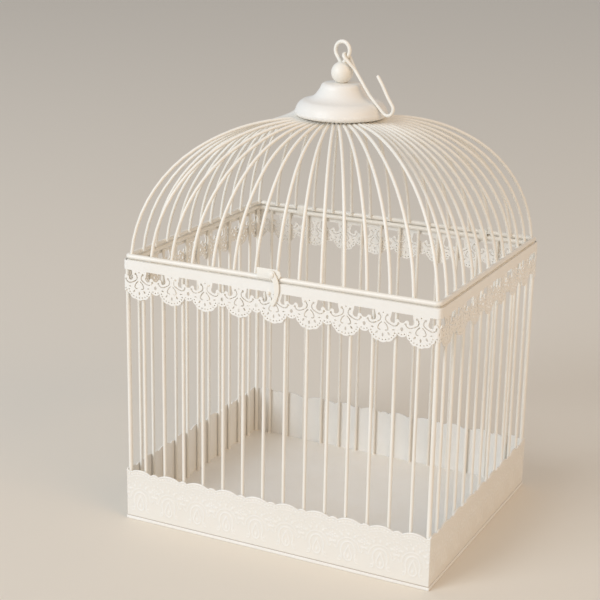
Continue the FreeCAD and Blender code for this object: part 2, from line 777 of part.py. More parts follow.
def eye_plane():
    """The upright plane of the eye and its hook, turned a little towards the front."""
    return Rotation(V(0, 0, 1), size("eye_turn"))


def make_eye_bolt():
    """A drop-shaped eye on a rod that runs down through ball, cap, disc, washer and nut; drawn along +X."""
    start = "(Dims.eye_drop - Dims.eye_wire / 2)"
    foot = "(Dims.crown_z - Dims.washer_thick - Dims.nut_thick - Dims.eye_rod)"
    rod = cylinder("eye_shank", "Dims.eye_rod", f"Dims.eye_z - {foot} - {start}", x=start, along="X")
    bolt = fuse("eye_bolt", rod, *drop_loop("eye", "eye_radius", "eye_wire", "eye_drop"))
    upright = Rotation(V(0, 0, -1), V(1, 0, 0), V(0, -1, 0), "XYZ")
    bolt.Placement = Placement(V(0, 0, 0), eye_plane().multiply(upright))
    return bind(bolt, z="Dims.eye_z")


# Latch


def make_latch_plate():
    """A flat plate with one round end, welded on the front of the lid rim, with the rivet's hole."""
    back = "(-Dims.wire_half_y - Dims.ring_radius + Dims.weld / 6)"
    end = "Dims.plate_rise / 2"
    flat = box("plate_flat", f"Dims.plate_right - {end} - Dims.plate_left", "Dims.plate_thick",
               "Dims.plate_rise", "Dims.plate_left", f"{back} - Dims.plate_thick", "Dims.lid_z")
    tip = cylinder("plate_tip", end, "Dims.plate_thick", f"Dims.plate_right - {end}", back,
                   f"Dims.lid_z + {end}", "-Y")
    hole = cylinder("plate_hole", "Dims.pivot_radius", "Dims.plate_thick", "Dims.pivot_x", back,
                    "Dims.pivot_z", "-Y")
    return cut("latch_plate", fuse("plate_blank", flat, tip), hole)


def make_rivet():
    """The latch pivot: a shank through the plate, a shoulder in front of it and a head over the hook."""
    back = "(-Dims.wire_half_y - Dims.ring_radius + Dims.weld / 6)"
    hook_back = "(-Dims.lace_depth / 2 - Dims.hook_gap)"
    gap = 0.3
    front = f"({back} - Dims.plate_thick)"
    head_back = f"({hook_back} - Dims.hook_thick - {gap})"
    head_thick = 1.0
    shank = cylinder("rivet_shank", "Dims.pivot_radius", f"{back} - {head_back}", "Dims.pivot_x", back,
                     "Dims.pivot_z", "-Y")
    shoulder = cylinder("rivet_shoulder_disc", "Dims.rivet_shoulder", f"{front} - {hook_back} - {gap}",
                        "Dims.pivot_x", front, "Dims.pivot_z", "-Y")
    head = cylinder("rivet_head_disc", "Dims.rivet_head", str(head_thick), "Dims.pivot_x", head_back,
                    "Dims.pivot_z", "-Y")
    return fuse("latch_rivet", shank, shoulder, head)


def make_latch_hook():
    """A flat crescent hook that swings on the rivet; at rest it hangs just clear of the keeper stud."""
    pivot = V(size("pivot_x"), size("pivot_z"), 0)
    plane_offset = size("lace_depth") / 2 + size("hook_gap")
    body = doc.addObject("PartDesign::Body", "latch_hook")

    eye = body_sketch(body, "hook_eye_disc", "XZ_Plane", plane_offset)
    eye.addGeometry(Part.Circle(pivot, V(0, 0, 1), size("hook_eye")), False)
    constrain(eye, "eye", "Dims.hook_eye", "Radius", 0, size("hook_eye"))
    pin_point(eye, "centre", 0, 3, "Dims.pivot_x", "Dims.pivot_z", pivot)
    doc.recompute()
    disc = body.newObject("PartDesign::Pad", "hook_disc")
    disc.Profile = eye
    bind(disc, Length="Dims.hook_thick")

    def at(u, v):
        return pivot + V(u, v, 0)

    outline = [
        (at(2.9, 1.9), at(6.5, -10.0), at(4.3, -19.6)),
        (at(4.3, -19.6), at(2.7, -23.4), at(0.2, -26.6)),
        (at(0.2, -26.6), at(-1.6, -26.9), at(-2.8, -25.4)),
        (at(-2.8, -25.4), at(-2.9, -23.8), at(-2.6, -22.4)),
        (at(-2.6, -22.4), at(0.2, -20.6), at(1.2, -17.6)),
        (at(1.2, -17.6), at(1.75, -12.8), at(1.5, -8.0)),
        (at(1.5, -8.0), at(0.7, -5.4), at(-1.0, -2.9)),
    ]
    tail = body_sketch(body, "hook_tail", "XZ_Plane", plane_offset)
    tail.addGeometry([Part.Arc(*points) for points in outline], False)
    tail.addGeometry(Part.LineSegment(at(-1.0, -2.9), at(2.9, 1.9)), False)
    doc.recompute()
    crescent = body.newObject("PartDesign::Pad", "hook_crescent")
    crescent.Profile = tail
    bind(crescent, Length="Dims.hook_thick")

    bore = body_sketch(body, "hook_bore", "XZ_Plane", plane_offset)
    pivot_hole = size("pivot_radius") + size("pivot_clearance")
    bore.addGeometry(Part.Circle(pivot, V(0, 0, 1), pivot_hole), False)
    constrain(bore, "pivot", "Dims.pivot_radius + Dims.pivot_clearance", "Radius", 0, pivot_hole)
    pin_point(bore, "pivot_at", 0, 3, "Dims.pivot_x", "Dims.pivot_z", pivot)
    doc.recompute()
    pierced = body.newObject("PartDesign::Pocket", "hook_pierced")
    pierced.Profile = bore
    pierced.Reversed = True
    bind(pierced, Length="Dims.hook_thick")
    doc.recompute()
    removed = crescent.Shape.Volume - pierced.Shape.Volume
    if removed < 0.99 * math.pi * pivot_hole ** 2 * size("hook_thick"):
        raise RuntimeError("the latch hook's hole was not cut")
    centre = V(pivot.x, 0, pivot.y)
    swing = Rotation(V(0, -1, 0), size("latch_rest"))
    body.Placement = Placement(centre - swing.multVec(centre), swing)
    return body


# Hanging hook


def make_hanging_hook():
    """A rod hook on a drop-shaped loop; drawn along +X from the middle of the eye, then tilted down."""
    rod, bend, reach = "Dims.hanger_rod", "Dims.hanger_bend", "Dims.hanger_reach"
    loop = drop_loop("hanger", "hanger_loop", "hanger_loop_rod", "hanger_drop", "Dims.eye_radius")
    start = "(Dims.eye_radius + Dims.hanger_drop - Dims.hanger_rod)"
    shank = cylinder("hanger_shank", rod, f"{reach} - {start}", x=start, along="X")
    turn = doc.addObject("Part::Torus", "hanger_turn")
    turn.Placement = Placement(V(0, 0, 0), Rotation(V(0, 0, -1), V(1, 0, 0), V(0, -1, 0), "ZXY"))
    bind(turn, Radius1=bend, Radius2=rod, Angle3="180 - Dims.hanger_flare", x=reach, z=bend)
    arm = doc.addObject("Part::Cylinder", "hanger_arm_rod")
    along_arm = Rotation(V(0, 1, 0), size("hanger_flare") - 90)
    arm.Placement = Placement(V(0, 0, 0), along_arm)
    arm_x = f"({reach} + {bend} * sin(Dims.hanger_flare))"
    arm_z = f"({bend} + {bend} * cos(Dims.hanger_flare))"
    bind(arm, Radius=rod, Height="Dims.hanger_arm", x=arm_x, z=arm_z)
    tip = doc.addObject("Part::Sphere", "hanger_tip")
    tip.Placement = Placement(V(0, 0, 0), along_arm)
    bind(tip, Radius=rod, Angle1="0", x=f"{arm_x} - Dims.hanger_arm * cos(Dims.hanger_flare)",
         z=f"{arm_z} + Dims.hanger_arm * sin(Dims.hanger_flare)")
    hook = fuse("hanging_hook", shank, turn, arm, tip, *loop)
    hook.Placement = Placement(V(0, 0, 0), eye_plane().multiply(Rotation(V(0, 1, 0), size("hanger_tilt"))))
    return bind(hook, z="Dims.eye_z")


def check_document(nodes):
    """Stop if any object failed to compute, or if a piece is empty or invalid."""
    for obj in doc.Objects:
        if {"Invalid", "Error"} & set(obj.State):
            raise RuntimeError(f"{obj.Label} did not compute: {obj.State}")
    for node in nodes:
        if node.Shape.isNull() or not node.Shape.isValid() or not node.Shape.Solids:
            raise RuntimeError(f"{node.Label} has no valid solid")


def main():
    """Build every node, check the document and write one STEP file per node."""
    nodes = [make_floor_pan()]
    nodes += make_skirts() + make_posts() + make_bars()
    nodes.append(wire_ring("top_frame", "Dims.frame_z"))
    nodes += make_lace()
    nodes += [make_strap("left", "-"), make_strap("right", "")]
    nodes.append(make_keeper_stud())
    nodes.append(wire_ring("lid_rim", "Dims.lid_z"))
    nodes += make_dome() + make_crown()
    nodes += [make_cap(), make_ball(), make_eye_bolt()]
    nodes += [make_latch_plate(), make_rivet(), make_latch_hook(), make_hanging_hook()]
    for node in nodes:
        node.Label = node.Name
    doc.recompute()
    check_document(nodes)
    os.makedirs("parts", exist_ok=True)
    for node in nodes:
        node.Shape.exportStep(f"parts/{node.Label}.step")
        volume = node.Shape.Volume / 1000
        print(f"{node.Label}: {len(node.Shape.Solids)} solid(s), {volume:.2f} cm3")


main()
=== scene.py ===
"""Looks of an ivory wire birdcage that is used as a card box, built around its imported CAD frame."""

import logging
import math
import random
from dataclasses import dataclass, field
from enum import Enum
from typing import Any, Callable, Iterable, Optional, Union

import bmesh
import bpy
from mathutils import Matrix, Vector

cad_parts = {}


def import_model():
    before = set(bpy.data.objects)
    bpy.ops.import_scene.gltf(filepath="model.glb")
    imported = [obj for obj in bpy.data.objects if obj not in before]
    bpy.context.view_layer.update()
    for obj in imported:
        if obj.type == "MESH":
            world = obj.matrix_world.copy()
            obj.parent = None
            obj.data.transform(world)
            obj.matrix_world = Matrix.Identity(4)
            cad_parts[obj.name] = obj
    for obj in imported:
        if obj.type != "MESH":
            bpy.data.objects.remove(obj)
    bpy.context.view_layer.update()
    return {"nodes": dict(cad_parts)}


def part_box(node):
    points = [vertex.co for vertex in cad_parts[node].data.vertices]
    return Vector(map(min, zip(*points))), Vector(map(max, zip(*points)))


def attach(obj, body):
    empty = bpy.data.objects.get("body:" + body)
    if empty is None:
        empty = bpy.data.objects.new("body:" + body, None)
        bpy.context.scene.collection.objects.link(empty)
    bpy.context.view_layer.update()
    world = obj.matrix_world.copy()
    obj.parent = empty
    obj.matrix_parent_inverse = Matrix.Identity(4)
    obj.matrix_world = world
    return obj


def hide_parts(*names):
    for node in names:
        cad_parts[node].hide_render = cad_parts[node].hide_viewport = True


MM = 0.001
LOG = logging.getLogger("card_box")

# Distances in millimetres below which points count as one
NEAR = 0.001
ON_PLANE = 0.0001

# The attribute that keeps an embossed sheet's relief: 1 on its heights, 0 on its ground, -1 in its seam; the
# paint reads it to put painted shade in the hollows and the seam
RELIEF = "relief"

UP = Vector((0.0, 0.0, 1.0))
RIGHTWARDS = Vector((1.0, 0.0, 0.0))
LEFTWARDS = Vector((-1.0, 0.0, 0.0))
FRONTWARDS = Vector((0.0, -1.0, 0.0))

Shape = bmesh.types.BMesh
Point = tuple[float, float]
Colour = tuple[int, int, int]
Number = Union[float, "Shade"]


class Body(Enum):
    """The moving bodies of the card box."""

    CAGE = "cage"
    LID = "lid"
    LATCH = "latch"
    HANGER = "hanger"


class Slot(Enum):
    """The paint slots that the finishes name."""

    WIRE = "wire_paint"
    SHEET = "sheet_paint"
    FITTING = "fitting_paint"


class Side(Enum):
    """The four sides of the cage, each with its turn about the upright axis in degrees."""

    FRONT = 0
    RIGHT = 90
    BACK = 180
    LEFT = 270

    @property
    def long(self) -> bool:
        """Whether this is one of the two long sides."""
        return self in (Side.FRONT, Side.BACK)

    @property
    def axis(self) -> int:
        """The axis that runs along this side: 0 for x, 1 for y."""
        return 0 if self.long else 1

    @property
    def word(self) -> str:
        """The side's name in lower case."""
        return self.name.lower()

    def turn(self) -> Matrix:
        """The turn that takes the front to this side."""
        return Matrix.Rotation(math.radians(self.value), 4, "Z")


def linear(channel: int) -> float:
    """One screen colour channel from 0 to 255 as linear light."""
    share = channel / 255
    return share / 12.92 if share <= 0.04045 else ((share + 0.055) / 1.055) ** 2.4


def screen_colour(red: int, green: int, blue: int) -> tuple[float, float, float, float]:
    """A screen colour as the linear colour that Blender's sockets take."""
    return linear(red), linear(green), linear(blue), 1.0


def node_box(name: str) -> tuple[Vector, Vector]:
    """The lowest and highest corner of a CAD node, in millimetres."""
    low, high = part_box(name)
    return low / MM, high / MM


class Shade:
    """A shader socket that takes part in Python arithmetic."""

    def __init__(self, tree: bpy.types.NodeTree, socket: bpy.types.NodeSocket) -> None:
        """Hold a socket of a node tree."""
        self.tree = tree
        self.socket = socket

    def _math(self, operation: str, first: Number, second: Number) -> "Shade":
        """Add one Math node.

        Args:
            operation: the Math node's operation.
            first: its first value.
            second: its second value.

        Returns:
            The node's result.
        """
        node = self.tree.nodes.new("ShaderNodeMath")
        node.operation = operation
        for socket, value in zip(node.inputs, (first, second)):
            if isinstance(value, Shade):
                self.tree.links.new(value.socket, socket)
            else:
                socket.default_value = value
        return Shade(self.tree, node.outputs[0])

    def __add__(self, other: Number) -> "Shade":
        """Sum."""
        return self._math("ADD", self, other)

    def __radd__(self, other: float) -> "Shade":
        """Sum with a number on the left."""
        return self._math("ADD", other, self)

    def __sub__(self, other: Number) -> "Shade":
        """Difference."""
        return self._math("SUBTRACT", self, other)

    def __rsub__(self, other: float) -> "Shade":
        """Difference from a number on the left."""
        return self._math("SUBTRACT", other, self)

    def __mul__(self, other: Number) -> "Shade":
        """Product."""
        return self._math("MULTIPLY", self, other)

    def __rmul__(self, other: float) -> "Shade":
        """Product with a number on the left."""
        return self._math("MULTIPLY", other, self)


class PaintTree:
    """The node tree of one paint."""

    def __init__(self, material: bpy.types.Material) -> None:
        """Clear a material's node tree.

        Args:
            material: the material.
        """
        material.use_nodes = True
        self.tree = material.node_tree
        self.tree.nodes.clear()

    def node(self, kind: str, settings: dict[str, Any], inputs: dict[Any, Any]) -> bpy.types.Node:
        """Add any node.

        Args:
            kind: the node's type.
            settings: the node's own properties, set first.
            inputs: values or links of its sockets, by name or place.

        Returns:
            The new node.
        """
        node = self.tree.nodes.new(kind)
        for name, value in settings.items():
            setattr(node, name, value)
        for name, value in inputs.items():
            if isinstance(value, Shade):
                self.tree.links.new(value.socket, node.inputs[name])
            else:
                node.inputs[name].default_value = value
        return node

    def out(self, node: bpy.types.Node, name: Any = 0) -> Shade:
        """An output of a node, ready for arithmetic."""
        return Shade(self.tree, node.outputs[name])

    def noise(self, where: Shade, scale: float, detail: float) -> Shade:
        """Noise from 0 to 1 at a number of features per metre."""
        inputs = {"Vector": where, "Scale": scale, "Detail": detail, "Roughness": 0.55}
        return self.out(self.node("ShaderNodeTexNoise", {}, inputs), "Fac")

    def ramp(self, value: Shade, low: float, high: float) -> Shade:
        """A value stretched so that low becomes 0 and high becomes 1."""
        inputs = {"Value": value, "From Min": low, "From Max": high}
        return self.out(self.node("ShaderNodeMapRange", {"clamp": True}, inputs), 0)

    def blend(self, share: Shade, first: Any, second: Any) -> Shade:
        """A colour between two others."""
        settings = {"data_type": "RGBA", "blend_type": "MIX"}
        return self.out(self.node("ShaderNodeMix", settings, {0: share, 6: first, 7: second}), 2)

    def surface(self, inputs: dict[str, Any]) -> None:
        """Send a Principled shader with the given inputs to the surface."""
        shader = self.node("ShaderNodeBsdfPrincipled", {}, inputs)
        self.node("ShaderNodeOutputMaterial", {}, {"Surface": self.out(shader, "BSDF")})


@dataclass(frozen=True)
class PaintFinish:
    """A satin ivory paint with faint clouding and a fine spray grain, and, if embossed, painted shade in its
    hollows and its seam.
    """

    name: str
    slot: Slot
    coat_colour: Colour
    cloud_colour: Colour
    roughness: float
    coat: float
    grain_depth: float
    # Painted shade: a darker, warmer colour mixed into the hollows of an embossed sheet, and a brown one into
    # its seam
    hollow_shade_colour: Optional[Colour] = None
    hollow_shade_share: float = 0.45
    seam_shade_colour: Colour = (168, 148, 122)
    cloud_scale: float = 24.0
    cloud_share: float = 0.75
    cloud_gloss: float = 0.16
    speck_scale: float = 310.0
    speck_gloss: float = 0.08
    grain_scale: float = 1300.0
    grain_share: float = 0.6
    bump_strength: float = 0.35
    coat_roughness: float = 0.22
    refraction: float = 1.48

    def material(self) -> bpy.types.Material:
        """Mix the paint.

        Returns:
            The finished material.
        """
        material = bpy.data.materials.new(self.name)
        paint = PaintTree(material)
        place = paint.out(paint.node("ShaderNodeTexCoord", {}, {}), "Object")
        cloud = paint.noise(place, self.cloud_scale, 4.0)
        speck = paint.noise(place, self.speck_scale, 2.0)
        grain = paint.noise(place, self.grain_scale, 2.0)
        bump = paint.node("ShaderNodeBump", {}, {
            "Strength": self.bump_strength,
            "Distance": self.grain_depth * MM,
            "Height": grain * self.grain_share + speck * (1 - self.grain_share),
        })
        paint.surface({
            "Base Color": self.colour(paint, cloud, speck),
            "Roughness": self.roughness + (cloud - 0.5) * self.cloud_gloss + (speck - 0.5) * self.speck_gloss,
            "Normal": paint.out(bump, "Normal"),
            "Coat Weight": self.coat,
            "Coat Roughness": self.coat_roughness,
            "IOR": self.refraction,
        })
        return material

    def colour(self, paint: PaintTree, cloud: Shade, speck: Shade) -> Shade:
        """The paint's colour, with painted shade in the hollows and the seam of an embossed sheet.

        Args:
            paint: the paint's node tree.
            cloud: its broad clouding.
            speck: its fine specks.

        Returns:
            The colour of the surface.
        """
        clouding = (paint.ramp(cloud, 0.35, 0.75) * self.cloud_share
                    + paint.ramp(speck, 0.55, 0.8) * (1 - self.cloud_share))
        colour = paint.blend(clouding, screen_colour(*self.coat_colour), screen_colour(*self.cloud_colour))
        if self.hollow_shade_colour is None:
            return colour
        relief = paint.out(paint.node("ShaderNodeAttribute", {"attribute_name": RELIEF}, {}), "Fac")
        # Painted shade in the hollows and the seam, steered by the relief attribute
        hollow = 1.0 - paint.ramp(relief, 0.0, 0.7)
        seam = 1.0 - paint.ramp(relief, -0.9, -0.1)
        colour = paint.blend(hollow * self.hollow_shade_share, colour, screen_colour(*self.hollow_shade_colour))
        return paint.blend(seam, colour, screen_colour(*self.seam_shade_colour))


WIRE_PAINT = PaintFinish("ivory_wire_paint", Slot.WIRE, (244, 240, 231), (239, 232, 220),
                         roughness=0.43, coat=0.12, grain_depth=0.06)
SHEET_PAINT = PaintFinish("ivory_sheet_paint", Slot.SHEET, (243, 240, 234), (239, 234, 225),
                          roughness=0.50, coat=0.06, grain_depth=0.08)
# The embossed sheet's paint carries painted shade in its hollows and its seam
EMBOSSED_PAINT = PaintFinish("ivory_embossed_paint", Slot.SHEET, (244, 241, 235), (240, 236, 228),
                             roughness=0.45, coat=0.10, grain_depth=0.08, hollow_shade_colour=(232, 225, 213))
FITTING_PAINT = PaintFinish("ivory_fitting_paint", Slot.FITTING, (244, 240, 231), (238, 231, 218),
                            roughness=0.46, coat=0.10, grain_depth=0.05)


@dataclass
class Workshop:
    """Turns shapes drawn in millimetres into painted pieces that ride on the frame's bodies."""

    materials: dict[str, bpy.types.Material] = field(default_factory=dict)
    pieces: list[bpy.types.Object] = field(default_factory=list)

    def paint(self, finish: PaintFinish) -> bpy.types.Material:
        """The material of a finish, mixed once.

        Args:
            finish: the finish.

        Returns:
            Its material.
        """
        if finish.name not in self.materials:
            self.materials[finish.name] = finish.material()
        return self.materials[finish.name]

    def place(self, name: str, shape: Shape, body: Body, finish: PaintFinish, node: str,
              crease: float = 38.0) -> None:
        """Bring a shape to metres, paint it and set it on its body.

        Args:
            name: the piece's name.
            shape: its mesh in millimetres, used up here.
            body: the body that it moves with.
            finish: its paint.
            node: the CAD node that it replaces.
            crease: edges sharper than this many degrees stay crisp.
        """
        bmesh.ops.scale(shape, vec=(MM, MM, MM), verts=shape.verts)
        mesh = bpy.data.meshes.new(name)
        shape.to_mesh(mesh)
        shape.free()
        mesh.shade_smooth()
        mesh.set_sharp_from_angle(angle=math.radians(crease))
        mesh.materials.append(self.paint(finish))
        piece = bpy.data.objects.new(name, mesh)
        bpy.context.scene.collection.objects.link(piece)
        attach(piece, body.value)
        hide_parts(node)
        self.pieces.append(piece)
        LOG.info("%s: %d faces on %s, in place of %s", name, len(mesh.polygons), body.value, node)


@dataclass
class SubAssembly:
    """A group of pieces that one workshop makes."""

    shop: Workshop


def tidy(shape: Shape, gap: float = 2 * NEAR) -> None:
    """Merge what coincides in a shape and turn its faces outwards."""
    bmesh.ops.remove_doubles(shape, verts=shape.verts, dist=gap)
    bmesh.ops.recalc_face_normals(shape, faces=shape.faces)


def everything(shape: Shape) -> list[Any]:
    """All vertices, edges and faces of a shape."""
    return [*shape.verts, *shape.edges, *shape.faces]


def verts_of(geometry: Iterable[Any]) -> list[bmesh.types.BMVert]:
    """The vertices in an operator's result."""
    return [item for item in geometry if isinstance(item, bmesh.types.BMVert)]


def edges_of(geometry: Iterable[Any]) -> list[bmesh.types.BMEdge]:
    """The edges in an operator's result."""
    return [item for item in geometry if isinstance(item, bmesh.types.BMEdge)]


def ring_edges(verts: list[bmesh.types.BMVert]) -> list[bmesh.types.BMEdge]:
    """The edges that join vertices of a ring.

    Args:
        verts: the ring's vertices.

    Returns:
        The edges between them, each once.
    """
    members = set(verts)
    linked = dict.fromkeys(edge for vert in verts for edge in vert.link_edges)
    return [edge for edge in linked if all(vert in members for vert in edge.verts)]


def cut_away(shape: Shape, through: Vector, normal: Vector) -> list[bmesh.types.BMEdge]:
    """Cut a shape with a plane and clear what lies beyond it.

    Args:
        shape: the mesh.
        through: a point of the plane.
        normal: the direction in which the shape is cleared.

    Returns:
        The edges along the cut.
    """
    made = bmesh.ops.bisect_plane(shape, geom=everything(shape), dist=ON_PLANE, plane_co=through,
                                  plane_no=normal, clear_outer=True)
    return edges_of(made["geom_cut"])


def draw_out(shape: Shape, faces: list[bmesh.types.BMFace], step: Vector) -> None:
    """Draw faces out into a closed solid, whose other end they stay."""
    made = bmesh.ops.extrude_face_region(shape, geom=faces, use_keep_orig=True)
    bmesh.ops.translate(shape, verts=verts_of(made["geom"]), vec=step)


def soften(shape: Shape, width: float, steps: int = 2, sharper_than: float = 50.0,
           test: Optional[Callable[[bmesh.types.BMEdge], bool]] = None) -> None:
    """Round the sharp edges of a shape.

    Args:
        shape: the mesh.
        width: width of the rounding.
        steps: faces across the rounding.
        sharper_than: edges with a smaller angle between their faces stay.
        test: picks the edges to round, or None for all.
    """
    limit = math.radians(sharper_than)
    edges = [edge for edge in shape.edges if len(edge.link_faces) == 2
             and edge.calc_face_angle(0.0) > limit and (test is None or test(edge))]
    bmesh.ops.bevel(shape, geom=edges, offset=width, offset_type="OFFSET", segments=steps, profile=0.5,
                    affect="EDGES", clamp_overlap=True, material=-1)


class WireRun:
    """A round wire drawn through straight runs and bends, one after another."""

    def __init__(self, shape: Shape, start: Vector, heading: Vector, radius: float, around: int) -> None:
        """Start a wire.

        Args:
            shape: the mesh to draw in.
            start: the middle of the wire's first end.
            heading: the direction in which it sets out.
            radius: the wire's radius.
            around: faces round the wire.
        """
        self.shape = shape
        self.here = start.copy()
        self.heading = heading.normalized()
        turn = self.heading.to_track_quat("Z", "Y").to_matrix().to_4x4()
        ring = bmesh.ops.create_circle(shape, cap_ends=False, segments=around, radius=radius,
                                       matrix=Matrix.Translation(start) @ turn)
        self.ring = list(ring["verts"])
        self.first = list(self.ring)

    def straight(self, length: float) -> "WireRun":
        """Draw the wire straight on.

        Args:
            length: how far.

        Returns:
            The same wire.
        """
        made = bmesh.ops.extrude_edge_only(self.shape, edges=ring_edges(self.ring))
        self.ring = verts_of(made["geom"])
        step = self.heading * length
        bmesh.ops.translate(self.shape, verts=self.ring, vec=step)
        self.here += step
        return self

    def bend(self, axis: Vector, degrees: float, radius: float, steps: int) -> "WireRun":
        """Bend the wire.

        Args:
            axis: the direction about which it turns.
            degrees: how far it turns, less than 0 for the other way.
            radius: the bend's radius at the middle of the wire.
            steps: straight pieces in the bend.

        Returns:
            The same wire.
        """
        axis = axis.normalized() * math.copysign(1.0, degrees)
        centre = self.here + axis.cross(self.heading) * radius
        angle = math.radians(abs(degrees))
        made = bmesh.ops.spin(self.shape, geom=self.ring + ring_edges(self.ring), cent=centre, axis=axis,
                              dvec=(0.0, 0.0, 0.0), angle=angle, steps=steps, use_merge=False,
                              use_normal_flip=False, use_duplicate=False)
        self.ring = verts_of(made["geom_last"])
        turn = Matrix.Rotation(angle, 3, axis)
        self.here = centre + turn @ (self.here - centre)
        self.heading = turn @ self.heading
        return self

    def arc_to(self, end: Vector, steps: int) -> "WireRun":
        """Bend the wire from its present heading so that it ends at a point.

        Args:
            end: the point.
            steps: straight pieces in the bend.

        Returns:
            The same wire.
        """
        chord = end - self.here
        half = self.heading.angle(chord)
        radius = chord.length / 2 / math.sin(half)
        return self.bend(self.heading.cross(chord), math.degrees(2 * half), radius, steps)

    def swell(self, share: float) -> "WireRun":
        """Widen or narrow the wire at its present end."""
        bmesh.ops.scale(self.shape, vec=(share, share, share), space=Matrix.Translation(-self.here),
                        verts=self.ring)
        return self

    def neck(self, length: float, share: float) -> "WireRun":
        """Draw the wire straight on while its thickness changes."""
        return self.straight(length).swell(share)

    def cap(self) -> "WireRun":
        """Close the present end."""
        bmesh.ops.edgeloop_fill(self.shape, edges=ring_edges(self.ring))
        return self

    def cap_start(self) -> "WireRun":
        """Close the first end."""
        bmesh.ops.edgeloop_fill(self.shape, edges=ring_edges(self.first))
        return self

    def round_end(self, radius: float) -> "WireRun":
        """Close the present end with a rounded tip.

        Args:
            radius: the wire's radius.

        Returns:
            The same wire.
        """
        last = 1.0
        for degrees in (30, 55, 75):
            share = math.cos(math.radians(degrees))
            rise = math.sin(math.radians(degrees)) - math.sqrt(1 - last ** 2)
            self.neck(rise * radius, share / last)
            last = share
        return self.cap()


@dataclass(frozen=True)
class Weld:
    """The swollen end of a welded wire: its widest part, its shoulder, both as shares, and its length."""

    swell: float
    shoulder: float
    length: float
    foot_share: float = 0.4

    def leave(self, wire: WireRun) -> WireRun:
        """Narrow a wire that starts in this weld."""
        wire.neck(self.length * self.foot_share, self.shoulder / self.swell)
        return wire.neck(self.length * (1 - self.foot_share), 1 / self.shoulder)

    def enter(self, wire: WireRun) -> WireRun:
        """Widen a wire that ends in this weld."""
        wire.neck(self.length * (1 - self.foot_share), self.shoulder)
        return wire.neck(self.length * self.foot_share, self.swell / self.shoulder)


def turned(profile: Iterable[Point], steps: int, closed: bool = False) -> Shape:
    """Turn a profile about the upright axis.

    Args:
        profile: points as radius and height.
        steps: faces round the axis.
        closed: whether the last point joins the first.

    Returns:
        The turned shape, with its faces outwards.
    """
    shape = bmesh.new()
    verts = [shape.verts.new((radius, 0.0, height)) for radius, height in profile]
    edges = [shape.edges.new(pair) for pair in zip(verts, verts[1:])]
    if closed:
        edges.append(shape.edges.new((verts[-1], verts[0])))
    bmesh.ops.spin(shape, geom=verts + edges, cent=(0.0, 0.0, 0.0), axis=UP, dvec=(0.0, 0.0, 0.0),
                   angle=math.tau, steps=steps, use_merge=True, use_normal_flip=False, use_duplicate=False)
    tidy(shape)
    return shape


def front_pin(profile: Iterable[Point], steps: int, low: Vector, high: Vector) -> Shape:
    """A turned pin that stands out to the front from the back of a box.

    Args:
        profile: its points as radius and distance from its back.
        steps: faces round the pin.
        low: the lowest corner of the box.
        high: its highest corner.

    Returns:
        The pin's mesh.
    """
    shape = turned(profile, steps)
    foot = Matrix.Translation(((low + high).x / 2, high.y, (low + high).z / 2))
    bmesh.ops.transform(shape, matrix=foot @ Matrix.Rotation(math.pi / 2, 4, "X"), verts=shape.verts)
    tidy(shape)
    return shape


def flat_plate(outline: list[Point], back: float, thickness: float) -> Shape:
    """An upright plate that faces the front.

    Args:
        outline: its points as x and z.
        back: y of its back face.
        thickness: its thickness.

    Returns:
        The plate's mesh.
    """
    shape = bmesh.new()
    face = shape.faces.new([shape.verts.new((x, back, z)) for x, z in outline])
    draw_out(shape, [face], FRONTWARDS * thickness)
    tidy(shape)
    return shape


def arc_points(start: Point, middle: Point, end: Point, steps: int) -> list[Point]:
    """Points along the arc through three points.

    Args:
        start: where the arc starts.
        middle: a point on it.
        end: where it ends.
        steps: how many straight pieces it is divided into.

    Returns:
        The points after start, up to and with end.
    """
    (ax, ay), (bx, by), (cx, cy) = start, middle, end
    d = 2 * (ax * (by - cy) + bx * (cy - ay) + cx * (ay - by))
    a2, b2, c2 = ax * ax + ay * ay, bx * bx + by * by, cx * cx + cy * cy
    ux = (a2 * (by - cy) + b2 * (cy - ay) + c2 * (ay - by)) / d
    uy = (a2 * (cx - bx) + b2 * (ax - cx) + c2 * (bx - ax)) / d
    first, through, last = (math.atan2(y - uy, x - ux) for x, y in (start, middle, end))
    ahead = (last - first) % math.tau
    if (through - first) % math.tau > ahead:
        ahead -= math.tau
    radius = math.hypot(ax - ux, ay - uy)
    return [(ux + radius * math.cos(first + ahead * step / steps),
             uy + radius * math.sin(first + ahead * step / steps)) for step in range(1, steps + 1)]


def domed_end(radius: float, drop: float, top: float, steps: int) -> list[Point]:
    """The profile of a domed end.

    Args:
        radius: the end's radius.
        drop: how much lower its rim is than its middle.
        top: height of its middle.
        steps: straight pieces in the profile.

    Returns:
        Points as radius and height, from the rim to the axis.
    """
    ball = (radius ** 2 + drop ** 2) / (2 * drop)
    radii = [radius * (steps - step) / steps for step in range(steps + 1)]
    return [(at, top - ball + math.sqrt(ball ** 2 - at ** 2)) for at in radii]


def soft_corner(line: list[Point], corner: int, reach: int, steps: int = 8) -> list[Point]:
    """Round one corner of a line.

    Args:
        line: the line's points.
        corner: the corner's place in the line.
        reach: how many points before and after it are drawn into the rounding.
        steps: straight pieces in the rounding.

    Returns:
        The new line.
    """
    start, middle, end = line[corner - reach], line[corner], line[corner + reach]
    rounding = []
    for step in range(steps + 1):
        t = step / steps
        rounding.append(tuple(a * (1 - t) ** 2 + 2 * b * t * (1 - t) + c * t ** 2
                              for a, b, c in zip(start, middle, end)))
    return line[:corner - reach] + rounding + line[corner + reach + 1:]


